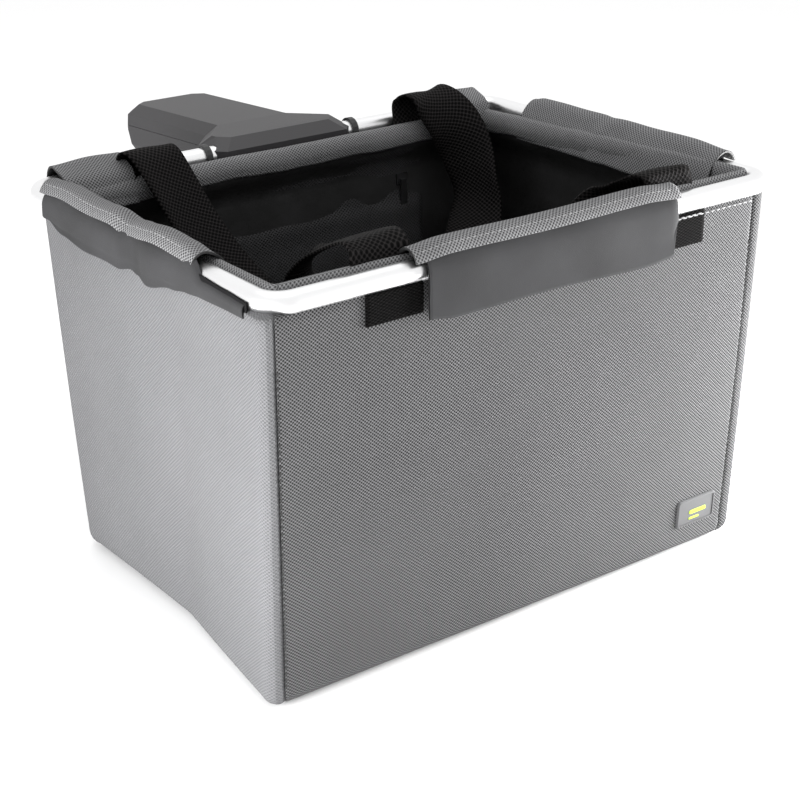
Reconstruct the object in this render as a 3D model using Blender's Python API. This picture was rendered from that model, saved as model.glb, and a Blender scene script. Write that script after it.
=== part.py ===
"""Handlebar basket: a tubular rim, a sewn and lined fabric box hung on it, webbing handles and
a quick-release adapter. Metres, +Z up, front of the basket towards -Y, handlebar towards +Y.
The origin is the middle of the flat base, on the plane the basket stands on."""
import math
import bpy
import bmesh
from mathutils import Vector

# ---- driving dimensions -------------------------------------------------------------------
RIM_X = 0.355            # width of the rim, tube centre to tube centre
RIM_Y = 0.266            # depth of the rim, tube centre to tube centre
RIM_Z = 0.240            # height of the tube's centre above the base
TUBE_R = 0.00635         # half-inch aluminium tube
TUBE_WALL = 0.0013
RIM_BEND = 0.0135        # bend radius of the rim corners, to the tube's centre
RIM_SPLIT = 0.012        # half of the gap between the tube ends, inside the adapter
GAP = 0.0003             # clearance between pieces that lie against each other
BASE_X = 0.349           # outer width of the box at its foot
BASE_Y = 0.235           # outer depth of the box at its foot
FOOT_R = 0.012           # rounding between base and walls
SHELL = 0.0012           # outer fabric
BOARD = 0.0020           # stiffening boards in front and rear walls
LINING = 0.0008
FACING = 0.0010          # grey band inside the top edge
WEB_W = 0.038            # handle webbing
WEB_T = 0.0014
HANDLE_X = 0.1050        # middle of each webbing leg, left and right of centre
BAND_T = 0.0016          # folded band that rides over the tube
TAIL_T = 0.0014          # loose tail of each wrap-over flap
FLAP_DROP = 0.028        # how far the tails hang below the tube's centre
FLAP_ROOM = 0.002        # space between a flap and the webbing beside it
FLAP_HALF = HANDLE_X - WEB_W / 2 - FLAP_ROOM
FLAP_FRONT = (-FLAP_HALF, FLAP_HALF)
FLAP_LEFT = (-0.069, 0.100)
FLAP_RIGHT = (-0.090, 0.074)
FLAP_REAR = (HANDLE_X + WEB_W / 2 + 0.001, 0.1570)
ZIP_Z = 0.200            # height of the zip in the rear wall's pocket
ZIP_HALF = 0.106
ADAPTER_TOP = 0.2505
ADAPTER_SPLIT = 0.2360   # joint line between the adapter's two shells
ADAPTER_LOW = 0.2110
ADAPTER_HALF = 0.054     # half width over the tube
STEM_HALF = 0.035
STEM_END = 0.158         # rear end of the adapter, behind the tube's centre

HALF_X = RIM_X / 2
HALF_Y = RIM_Y / 2
WALL_IN = 0.0085         # tube centre to the wall's outer face where it passes inside the tube
REAR_IN = 0.0140         # the same at the rear, where the adapter needs room

for old in list(bpy.data.objects):
    bpy.data.objects.remove(old, do_unlink=True)

LOOKS = {
    "fabric_grey": ((0.27, 0.27, 0.28), 0.0, 0.85),
    "fabric_smooth": ((0.13, 0.13, 0.135), 0.0, 0.9),
    "lining_black": ((0.016, 0.016, 0.017), 0.0, 0.6),
    "webbing_black": ((0.02, 0.02, 0.021), 0.0, 0.8),
    "aluminium": ((0.85, 0.85, 0.86), 1.0, 0.3),
    "plastic_dark": ((0.075, 0.073, 0.078), 0.0, 0.55),
    "board_black": ((0.03, 0.03, 0.03), 0.0, 0.6),
    "zip_black": ((0.02, 0.02, 0.02), 0.0, 0.45),
    "zip_metal": ((0.12, 0.12, 0.125), 1.0, 0.35),
    "rubber_grey": ((0.10, 0.10, 0.105), 0.0, 0.7),
    "steel": ((0.55, 0.55, 0.56), 1.0, 0.35),
}


def colour(obj, look):
    """Give the object its own material."""
    rgb, metal, rough = LOOKS[look]
    mat = bpy.data.materials.new(look + "." + obj.name)
    mat.use_nodes = True
    shader = mat.node_tree.nodes["Principled BSDF"]
    shader.inputs["Base Color"].default_value = (rgb[0], rgb[1], rgb[2], 1)
    shader.inputs["Metallic"].default_value = metal
    shader.inputs["Roughness"].default_value = rough
    mat.diffuse_color = (rgb[0], rgb[1], rgb[2], 1)
    obj.data.materials.append(mat)


def solid(name, verts, faces, look, origin=(0, 0, 0)):
    """A closed body from points and faces, turned to face out, with its own origin."""
    mesh = bpy.data.meshes.new(name)
    shift = Vector(origin)
    mesh.from_pydata([Vector(v) - shift for v in verts], [], faces)
    bm = bmesh.new()
    bm.from_mesh(mesh)
    bmesh.ops.recalc_face_normals(bm, faces=bm.faces[:])
    bm.to_mesh(mesh)
    bm.free()
    obj = bpy.data.objects.new(name, mesh)
    obj.location = shift
    bpy.context.scene.collection.objects.link(obj)
    if look:
        colour(obj, look)
    return obj


def loft(name, rings, look, origin=(0, 0, 0)):
    """Join closed loops of equal length one after another and cap both ends."""
    n = len(rings[0])
    verts = [p for ring in rings for p in ring]
    faces = [tuple(range(n)), tuple((len(rings) - 1) * n + i for i in range(n))]
    for a in range(len(rings) - 1):
        for i in range(n):
            j = (i + 1) % n
            faces.append((a * n + i, a * n + j, (a + 1) * n + j, (a + 1) * n + i))
    return solid(name, verts, faces, look, origin)


def slab(name, front, back, look, origin=(0, 0, 0)):
    """A sheet with thickness: two equal grids of points and the strips round their edges."""
    rows, cols = len(front), len(front[0])
    verts = [p for row in front for p in row] + [p for row in back for p in row]
    off = rows * cols
    faces = []
    for r in range(rows - 1):
        for c in range(cols - 1):
            a, b = r * cols + c, r * cols + c + 1
            d, e = a + cols, b + cols
            faces.append((a, b, e, d))
            faces.append((off + a, off + d, off + e, off + b))
    edge = [c for c in range(cols)]
    edge += [r * cols + cols - 1 for r in range(1, rows)]
    edge += [(rows - 1) * cols + c for c in range(cols - 2, -1, -1)]
    edge += [r * cols for r in range(rows - 2, 0, -1)]
    for k, a in enumerate(edge):
        b = edge[(k + 1) % len(edge)]
        faces.append((a, off + a, off + b, b))
    return solid(name, verts, faces, look, origin)


def block(name, x, y, z, look, origin=(0, 0, 0)):
    """A plain box between pairs of limits."""
    ring = [(x[0], y[0]), (x[1], y[0]), (x[1], y[1]), (x[0], y[1])]
    return loft(name, [[(a, b, h) for a, b in ring] for h in z], look, origin)


def rod(name, start, end, radius, sides, look, inner=0.0, origin=(0, 0, 0)):
    """A round bar, or a round tube when inner is given, between two points."""
    a, b = Vector(start), Vector(end)
    along = (b - a).normalized()
    side = along.orthogonal().normalized()
    up = along.cross(side)
    turn = [2 * math.pi * i / sides for i in range(sides)]
    dirs = [side * math.cos(t) + up * math.sin(t) for t in turn]
    if not inner:
        return loft(name, [[p + d * radius for d in dirs] for p in (a, b)], look, origin)
    loops = [[a + d * inner for d in dirs], [a + d * radius for d in dirs],
             [b + d * radius for d in dirs], [b + d * inner for d in dirs]]
    return closed_tube(name, loops, look, origin)


def closed_tube(name, loops, look, origin=(0, 0, 0)):
    """Loops joined in turn with the last joined back to the first."""
    n = len(loops[0])
    verts = [p for loop in loops for p in loop]
    faces = []
    for a in range(len(loops)):
        b = (a + 1) % len(loops)
        for i in range(n):
            j = (i + 1) % n
            faces.append((a * n + i, a * n + j, b * n + j, b * n + i))
    return solid(name, verts, faces, look, origin)


def cut(obj, tools):
    """Subtract helper bodies one by one, then take the helpers away."""
    for tool in tools:
        mod = obj.modifiers.new("cut", "BOOLEAN")
        mod.operation = "DIFFERENCE"
        mod.solver = "EXACT"
        mod.object = tool
        bpy.context.view_layer.objects.active = obj
        obj.select_set(True)
        bpy.ops.object.modifier_apply(modifier=mod.name)
        bpy.data.objects.remove(tool, do_unlink=True)


# ---- the rim ------------------------------------------------------------------------------
def rim_path():
    """Centre line of the rim from one tube end round to the other, with its directions."""
    cx, cy = HALF_X - RIM_BEND, HALF_Y - RIM_BEND
    path = [((RIM_SPLIT, HALF_Y), (1, 0))]
    for sx, sy, first in ((1, 1, 90), (1, -1, 0), (-1, -1, -90), (-1, 1, -180)):
        for k in range(7):
            t = math.radians(first - 15 * k)
            path.append(((sx * cx + RIM_BEND * math.cos(t), sy * cy + RIM_BEND * math.sin(t)),
                         (math.sin(t), -math.cos(t))))
    path.append(((-RIM_SPLIT, HALF_Y), (1, 0)))
    return path


def rim():
    sides = 16
    turn = [2 * math.pi * (i + 0.5) / sides for i in range(sides)]
    rows = []
    for (x, y), (dx, dy) in rim_path():
        rows.append([[(x + dy * r * math.cos(t), y - dx * r * math.cos(t),
                       RIM_Z + r * math.sin(t)) for t in turn]
                     for r in (TUBE_R, TUBE_R - TUBE_WALL)])
    loops = [row[0] for row in rows] + [row[1] for row in reversed(rows)]
    closed_tube("rim_frame", loops, "aluminium")
    plug = TUBE_R - TUBE_WALL - GAP
    rod("rim_joiner", (-0.045, HALF_Y, RIM_Z), (0.045, HALF_Y, RIM_Z), plug, 16, "steel")


# ---- the sewn box -------------------------------------------------------------------------
# One row of the wall: height at the front, height at the rear, half width, half depth at the
# front, half depth at the rear, corner radius at the front, corner radius at the rear.
def wall_row(z):
    """A row of the tapered part of the wall, below the neck."""
    k = (z - FOOT_R) / (NECK[0] - FOOT_R)
    kr = (z - FOOT_R) / (NECK[1] - FOOT_R)
    return (z, z, BASE_X / 2 + (NECK[2] - BASE_X / 2) * k,
            BASE_Y / 2 + (NECK[3] - BASE_Y / 2) * k,
            BASE_Y / 2 + (NECK[4] - BASE_Y / 2) * kr,
            0.016 + (NECK[5] - 0.016) * k, 0.016 + (NECK[6] - 0.016) * kr)


NECK = (0.2250, 0.2180, HALF_X + 0.0056, HALF_Y + 0.0055, HALF_Y + 0.0055, 0.030, 0.026)
THROAT = (0.2340, 0.2310, HALF_X - WALL_IN, HALF_Y - WALL_IN, HALF_Y - REAR_IN, 0.016, 0.010)
TOP = (0.2460, 0.2400) + THROAT[2:]
CREASE_Z = 0.075         # height where the side walls are creased in the most
CREASE_IN = 0.011        # how far in
CREASE_Y = -0.045        # where along the side the fold line runs


def crease(y, z, end):
    """How far a side wall is folded in at a point."""
    if abs(y) >= end:
        return 0.0
    low = FOOT_R + 0.001
    high = max(0.0, min((z - low) / (CREASE_Z - low), (0.200 - z) / (0.200 - CREASE_Z)))
    along = (y + end) / (CREASE_Y + end) if y < CREASE_Y else (end - y) / (end - CREASE_Y)
    return CREASE_IN * high * along


def wall_rows(depth, heights, neck=True, foot=True):
    """Rows for a layer lying this deep in the wall. Each row carries its inset and its drop."""
    rows = []
    if foot:
        base = wall_row(FOOT_R)
        for turn in (0, 30, 60, 90):
            t = math.radians(turn)
            inset = FOOT_R - (FOOT_R - depth) * math.sin(t)
            z = FOOT_R - (FOOT_R - depth) * math.cos(t)
            rows.append(((z, z) + base[2:], inset))
    rows += [(wall_row(z), depth) for z in heights]
    if neck:
        rows += [(NECK, depth), (THROAT, depth), (TOP, depth)]
    return rows


def spot(row, inset, where):
    """A point on a wall row. where is a side name and a fraction, or a corner and an angle."""
    zf, zr, hx, hf, hr, rf, rr = row
    hx, hf, hr = hx - inset, hf - inset, hr - inset
    rf, rr = max(rf - inset, 0.002), max(rr - inset, 0.002)
    kind, val = where
    if kind == "front":
        x, y = val * (hx - rf), -hf
    elif kind == "rear":
        x, y = val * (hx - rr), hr
    elif kind in ("left", "right"):
        lo, hi = -(hf - rf), hr - rr
        y = lo + (hi - lo) * val
        x = hx - crease(y, zf, min(-lo, hi))
        x = -x if kind == "left" else x
    else:
        r, front = (rf, True) if kind[0] == "f" else (rr, False)
        t = math.radians(val)
        x = (hx - r) + r * math.cos(t)
        y = (hf - r) + r * math.sin(t) if front else (hr - r) + r * math.sin(t)
        x = -x if kind[1] == "l" else x
        y = -y if front else y
    k = max(0.0, min(1.0, (y + hf) / (hf + hr)))
    return (x, y, zf + (zr - zf) * k)


def layer(name, places, rows_out, rows_in, look):
    """A fabric layer between two sets of rows, over a list of places round the wall."""
    front = [[spot(row, inset, w) for w in places] for row, inset in rows_out]
    back = [[spot(row, inset, w) for w in places] for row, inset in rows_in]
    return slab(name, front, back, look)


SIDE_STEPS = (0.0, 0.16, 0.31, 0.5, 0.75, 1.0)
EDGE = 0.9985            # panels stop just short of the seam so that neighbours stay apart
HEIGHTS = (0.045, 0.075, 0.120, 0.165, 0.200)


def side_places(side):
    """Places from the front seam, round the corner, along the side and to the rear seam."""
    s = "l" if side == "left" else "r"
    places = [("f" + s, a) for a in (89.2, 67.5, 45, 22.5)]
    places += [(side, k) for k in SIDE_STEPS]
    places += [("r" + s, a) for a in (22.5, 45, 67.5, 89.2)]
    return places


def box_walls():
    """Outer fabric, boards, lining and the grey facing inside the top edge."""
    flat = {"front": [("front", -EDGE), ("front", 0.0), ("front", EDGE)],
            "rear": [("rear", -EDGE), ("rear", 0.0), ("rear", EDGE)]}
    out, inn = wall_rows(0.0, HEIGHTS), wall_rows(SHELL, HEIGHTS)
    for side in ("front", "rear"):
        layer(side + "_panel", flat[side], out, inn, "fabric_grey")
    for side in ("left", "right"):
        layer(side + "_panel", side_places(side), out, inn, "fabric_grey")
    d0 = SHELL + GAP
    tall = (0.018, 0.212)
    for side in ("front", "rear"):
        board = [(side, -0.97), (side, 0.97)]
        layer(side + "_board", board, wall_rows(d0, tall, False, False),
              wall_rows(d0 + BOARD, tall, False, False), "board_black")
    d1 = d0 + BOARD + GAP
    lin_out, lin_in = wall_rows(d1, HEIGHTS), wall_rows(d1 + LINING, HEIGHTS)
    for side in ("front", "rear"):
        layer(side + "_lining", flat[side], lin_out, lin_in, "lining_black")
    for side in ("left", "right"):
        layer(side + "_lining", side_places(side), lin_out, lin_in, "lining_black")
    d2 = d1 + LINING + GAP
    band = [(wall_row(0.2130), d2), (NECK, d2), (THROAT, d2), (TOP, d2)]
    band_in = [(row, d2 + FACING) for row, _ in band]
    for side in ("front", "rear"):
        layer(side + "_facing", flat[side], band, band_in, "fabric_grey")
    for side in ("left", "right"):
        layer(side + "_facing", side_places(side), band, band_in, "fabric_grey")
    return d1


def outline(inset, z):
    """The rounded outline of the base, inset from its widest line, at one height."""
    base = wall_row(FOOT_R)
    ring = []
    for corner, angles in (("fr", (90, 60, 30, 0)), ("rr", (0, 30, 60, 90)),
                           ("rl", (90, 60, 30, 0)), ("fl", (0, 30, 60, 90))):
        for a in angles:
            x, y, _ = spot(base, inset, (corner, a))
            ring.append((x, y, z))
    return ring


def base(d1):
    """Bottom fabric, the stiff board above it and the lining floor over the board."""
    rim_in = FOOT_R + GAP
    loft("bottom_panel", [outline(rim_in, 0.0), outline(rim_in, SHELL)], "fabric_grey")
    z0 = SHELL + GAP
    loft("base_board", [outline(rim_in + 0.001, z0), outline(rim_in + 0.001, z0 + BOARD)],
         "board_black")
    z1 = z0 + BOARD + GAP
    loft("floor_lining", [outline(rim_in, z1), outline(rim_in, z1 + LINING)], "lining_black")


def pipings():
    """Raised seam ridges up the four corners, lying on the outside of the panels."""
    rows = [wall_row(z) for z in (0.016, 0.075, 0.120, 0.165, 0.200, 0.2080)]
    for name, side, corner, mirror in (("front_left", "front", "fl", -1),
                                       ("front_right", "front", "fr", 1),
                                       ("rear_left", "rear", "rl", -1),
                                       ("rear_right", "rear", "rr", 1)):
        out, inn = [], []
        for row in rows:
            r = row[5] if side == "front" else row[6]
            half = (row[2] - r)
            depth = -row[3] if side == "front" else row[4]
            away = -1 if side == "front" else 1
            xs = (half - 0.0042, half - 0.0030, half - 0.0012, half)
            lift = (0.0006, 0.0022, 0.0022, 0.0006)
            out.append([(mirror * x, depth + away * h, row[0]) for x, h in zip(xs, lift)])
            inn.append([(mirror * x, depth + away * GAP, row[0]) for x in xs])
        slab("piping_" + name, out, inn, "fabric_grey")


# ---- flaps over the tube ------------------------------------------------------------------
def ribbon(name, line, thick, axis, sign, span, look, origin=(0, 0, 0)):
    """A flat strip whose side view is a line of (distance out, height) points."""
    pts = [Vector(p) for p in line]
    near, far = [], []
    for i, p in enumerate(pts):
        d0 = (p - pts[i - 1]).normalized() if i else None
        d1 = (pts[i + 1] - p).normalized() if i + 1 < len(pts) else None
        d0 = d0 or d1
        d1 = d1 or d0
        n0, n1 = Vector((-d0.y, d0.x)), Vector((-d1.y, d1.x))
        n = (n0 + n1).normalized()
        n = n * (thick / 2 / max(n.dot(n0), 0.5))
        near.append(p + n)
        far.append(p - n)

    def place(q, w):
        return (w, sign * q.x, q.y) if axis == "x" else (sign * q.x, w, q.y)
    cols = (span[0], (span[0] + span[1]) / 2, span[1])
    front = [[place(q, w) for w in cols] for q in near]
    back = [[place(q, w) for w in cols] for q in far]
    return slab(name, front, back, look, origin)


SEAM_OUT = 0.0017        # the tail's seam lies this far outside the tube's centre
SEAM_Z = RIM_Z + 0.0113  # height of the seam line the tails turn about
TAIL_OUT = 0.0087        # distance of the hanging tail from the tube's centre


def flap(name, axis, sign, centre, leg, span):
    """The folded band over the tube and the loose tail that closes on the outside."""
    top = TOP[1] if name.startswith("rear") else TOP[0]
    band = [(-leg, top - 0.011), (-leg, RIM_Z + 0.0060), (-leg + 0.0018, RIM_Z + 0.0090),
            (-0.0080, RIM_Z + 0.0108), (-0.0040, RIM_Z + 0.0110), (0.0012, RIM_Z + 0.0105)]
    tail = [(0.0020, RIM_Z + 0.0104), (0.0052, RIM_Z + 0.0083), (0.0077, RIM_Z + 0.0045),
            (TAIL_OUT, RIM_Z), (TAIL_OUT, RIM_Z - FLAP_DROP)]
    band = [(centre + u, z) for u, z in band]
    tail = [(centre + u, z) for u, z in tail]
    ribbon(name + "_sleeve", band, BAND_T, axis, sign, span, "fabric_grey")
    mid = (span[0] + span[1]) / 2
    out = sign * (centre + SEAM_OUT)
    pivot = (mid, out, SEAM_Z) if axis == "x" else (out, mid, SEAM_Z)
    ribbon(name + "_flap", tail, TAIL_T, axis, sign, span, "fabric_smooth", pivot)


def hook_pad(name, side, span):
    """Hook tape sewn to the wall under a tail. It follows the panel between its top two rows."""
    low, high = wall_row(HEIGHTS[-1]), NECK
    if side == "front":
        ends = [v / (NECK[2] - NECK[5]) for v in span]
    else:
        first, last = -(NECK[3] - NECK[5]), NECK[4] - NECK[6]
        ends = [(v - first) / (last - first) for v in span]
    away = {"front": Vector((0, -1, 0)), "left": Vector((-1, 0, 0)), "right": Vector((1, 0, 0))}
    out, inn = [], []
    for share in (0.55, 1.0):
        for grid, lift in ((out, GAP + 0.0010), (inn, GAP)):
            grid.append([Vector(spot(low, 0, (side, v))).lerp(Vector(spot(high, 0, (side, v))),
                         share) + away[side] * lift for v in ends])
    slab("hook_pad_" + name, out, inn, "webbing_black")


def flaps():
    y_leg, r_leg = 0.0155, 0.0210
    flap("front", "x", -1, HALF_Y, y_leg, FLAP_FRONT)
    flap("left", "y", -1, HALF_X, y_leg, FLAP_LEFT)
    flap("right", "y", 1, HALF_X, y_leg, FLAP_RIGHT)
    flap("rear_left", "x", 1, HALF_Y, r_leg, (-FLAP_REAR[1], -FLAP_REAR[0]))
    flap("rear_right", "x", 1, HALF_Y, r_leg, FLAP_REAR)
    hook_pad("front", "front", (FLAP_FRONT[0] + 0.008, FLAP_FRONT[1] - 0.008))
    hook_pad("left", "left", (FLAP_LEFT[0] + 0.004, 0.090))
    hook_pad("right", "right", (-0.086, FLAP_RIGHT[1] - 0.004))


# ---- handles ------------------------------------------------------------------------------
AXIS_FRONT = (HALF_Y - WALL_IN + GAP + WEB_T / 2, RIM_Z + 0.0078)
AXIS_REAR = (HALF_Y - REAR_IN + GAP + WEB_T / 2, RIM_Z + 0.0078)


def handle_ends():
    """The sewn ends: up the outside of the wall, in under the tube and up behind it."""
    off = GAP + WEB_T / 2
    for side, sign, depth, throat, axis in (("front", -1, 3, 0, AXIS_FRONT),
                                            ("rear", 1, 4, 1, AXIS_REAR)):
        low = wall_row(0.2080 if side == "front" else 0.2020)
        line = [(low[depth] + off, low[0]), (NECK[depth] + off, NECK[throat] + 0.0006),
                (THROAT[depth] + off, THROAT[throat] + 0.0006), (axis[0], RIM_Z + 0.0065)]
        for label, s in (("left", -1), ("right", 1)):
            mid = s * HANDLE_X
            ribbon(side + "_handle_end_" + label, line, WEB_T, "x", sign,
                   (mid - WEB_W / 2, mid + WEB_W / 2), "webbing_black")


HANDLE_HALF = (          # across, inward, up and the direction of the webbing's width
    (-1.000, 0.0010, 0.0010, (1, 0, 0)),
    (-1.000, 0.0062, 0.0066, (1, 0, 0)),
    (-1.000, 0.0150, 0.0112, (1, 0, 0)),
    (-0.995, 0.0255, 0.0100, (1, -0.05, 0)),
    (-0.960, 0.0365, 0.0025, (0.95, -0.25, 0.15)),
    (-0.860, 0.0460, -0.0100, (0.80, -0.45, 0.40)),
    (-0.700, 0.0525, -0.0210, (0.55, -0.55, 0.60)),
    (-0.500, 0.0570, -0.0300, (0.30, -0.62, 0.70)),
    (-0.250, 0.0600, -0.0360, (0.12, -0.68, 0.72)))


def handle(name, sign, axis):
    """The free loop of webbing, lying over into the basket."""
    keys = [(a * HANDLE_X, u, h, w) for a, u, h, w in HANDLE_HALF]
    keys.append((0.0, 0.0610, -0.0380, (0, -0.69, 0.72)))
    keys += [(-a, u, h, (-w[0], w[1], w[2])) for a, u, h, w in reversed(keys[:-1])]
    pts = [Vector((a, sign * (axis[0] - u), axis[1] + h)) for a, u, h, _ in keys]
    rings = []
    for i, p in enumerate(pts):
        before, after = pts[max(i - 1, 0)], pts[min(i + 1, len(pts) - 1)]
        along = (after - before).normalized()
        w = keys[i][3]
        wide = Vector((w[0], -sign * w[1], w[2]))
        wide = (wide - along * wide.dot(along)).normalized()
        up = along.cross(wide).normalized()
        a, b = wide * (WEB_W / 2), up * (WEB_T / 2)
        rings.append([p - a - b, p + a - b, p + a + b, p - a + b])
    loft(name, rings, "webbing_black", (0, sign * axis[0], axis[1]))


# ---- pocket and zip -----------------------------------------------------------------------
def pocket():
    """A flat zipped pocket on the rear wall's lining, with its slider and pull."""
    deep = SHELL + GAP + BOARD + GAP + LINING + GAP
    low, high = wall_row(0.085), wall_row(ZIP_Z - 0.0040)
    up0, up1 = wall_row(ZIP_Z + 0.0040), wall_row(0.2115)

    def strip(name, rows, half, lift, thick, look):
        out = [[(x, r[4] - deep - lift, r[0]) for x in (-half, 0, half)] for r in rows]
        inn = [[(x, r[4] - deep - lift - thick, r[0]) for x in (-half, 0, half)] for r in rows]
        slab(name, out, inn, look)
    strip("pocket_panel", (low, high), ZIP_HALF + 0.006, 0.0, 0.0012, "lining_black")
    strip("pocket_top_strip", (up0, up1), ZIP_HALF + 0.006, 0.0, 0.0012, "lining_black")
    face = wall_row(ZIP_Z)[4] - deep
    for name, a, b in (("zip_teeth_lower", -0.0031, -0.0006), ("zip_teeth_upper", 0.0006, 0.0031)):
        block(name, (-ZIP_HALF, ZIP_HALF), (face - 0.0034, face - 0.0016),
              (ZIP_Z + a, ZIP_Z + b), "zip_black")
    x0, half = 0.096, 0.0045
    y_mid = face - 0.0025
    front = [(-0.0031, -0.0038), (-0.0031, 0.0038), (-0.0013, 0.0038), (-0.0013, 0.0003),
             (0.0009 + 0.0003, 0.0003), (0.0012, -0.0003), (-0.0013, -0.0003), (-0.0013, -0.0038)]
    loft("zip_slider", [[(x, y_mid + a, ZIP_Z + b) for a, b in front]
                        for x in (x0 - half, x0 + half)], "zip_metal", (x0, y_mid, ZIP_Z))
    y_pin, z_pin = y_mid - 0.0046, ZIP_Z + 0.0010
    ring = [(x0 - 0.0022, z_pin - 0.0008), (x0 + 0.0022, z_pin - 0.0008),
            (x0 + 0.0030, z_pin - 0.0190), (x0 + 0.0018, z_pin - 0.0215),
            (x0 - 0.0018, z_pin - 0.0215), (x0 - 0.0030, z_pin - 0.0190)]
    loft("zip_pull", [[(a, y_pin + d, b) for a, b in ring] for d in (-0.0006, 0.0006)],
         "zip_metal", (x0, y_pin, z_pin))


# ---- label --------------------------------------------------------------------------------
def label():
    """A moulded patch with a raised border, low on the right of the front wall."""
    x0, x1, z0, z1 = 0.1180, 0.1510, 0.0200, 0.0390
    face = -wall_row(z0)[3] - 2 * GAP
    lean = (wall_row(z1)[3] - wall_row(z0)[3]) / (z1 - z0)

    def loop(shrink, y, cut_x=0.0022):
        a, b, c, d = x0 + shrink, x1 - shrink, z0 + shrink, z1 - shrink
        k = max(cut_x - shrink / 2, 0.0008)
        pts = [(a + k, c), (b - k, c), (b, c + k), (b, d - k), (b - k, d), (a + k, d),
               (a, d - k), (a, c + k)]
        return [(x, y - lean * (z - z0), z) for x, z in pts]
    loft("label_patch", [loop(0, face), loop(0, face - 0.0014), loop(0.0006, face - 0.0020),
                         loop(0.0018, face - 0.0020), loop(0.0022, face - 0.0012)],
         "rubber_grey")


# ---- adapter ------------------------------------------------------------------------------
# Distances called y here are measured backwards from the tube's centre.
def plan(front, wing, waist, stem, stop, end, nose, z):
    """Outline of the adapter at one height, symmetric left to right, falling to the rear."""
    half = [(wing - 0.007, front), (wing, front + 0.007), (wing + 0.001, waist),
            (stem, waist + 0.024), (stem, stop), (nose, end)]
    pts = half + [(-x, y) for x, y in reversed(half)]
    return [(x, HALF_Y + y, z - FALL * max(0.0, y - 0.020)) for x, y in pts]


def behind(name, x, y, z, look, origin=(0, 0, 0)):
    """A box whose depth is measured backwards from the tube's centre."""
    return block(name, x, (HALF_Y + y[0], HALF_Y + y[1]), z, look, origin)


SCREWS = ((-0.041, 0.0150), (0.041, 0.0150))
SCREW_R = 0.0014
HEAD_R = 0.0028
HEAD_T = 0.0020
CAVITY_X, CAVITY_Y = 0.024, (0.043, 0.123)     # room for the latch inside both shells
SOCKET_X, SOCKET_Y = 0.0215, (0.047, 0.089)    # mouth for the handlebar bracket
TAB_X, TAB_Z = 0.0080, (ADAPTER_SPLIT - 0.0190, ADAPTER_SPLIT - 0.0100)
BOLT_END = 0.117
PLATE_Z = (ADAPTER_SPLIT - 0.0035, ADAPTER_SPLIT - 0.0015)
ROOF = 0.0035            # thickness of the cover over the cavity
FALL = 0.052             # slope of the adapter down to the rear


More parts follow.
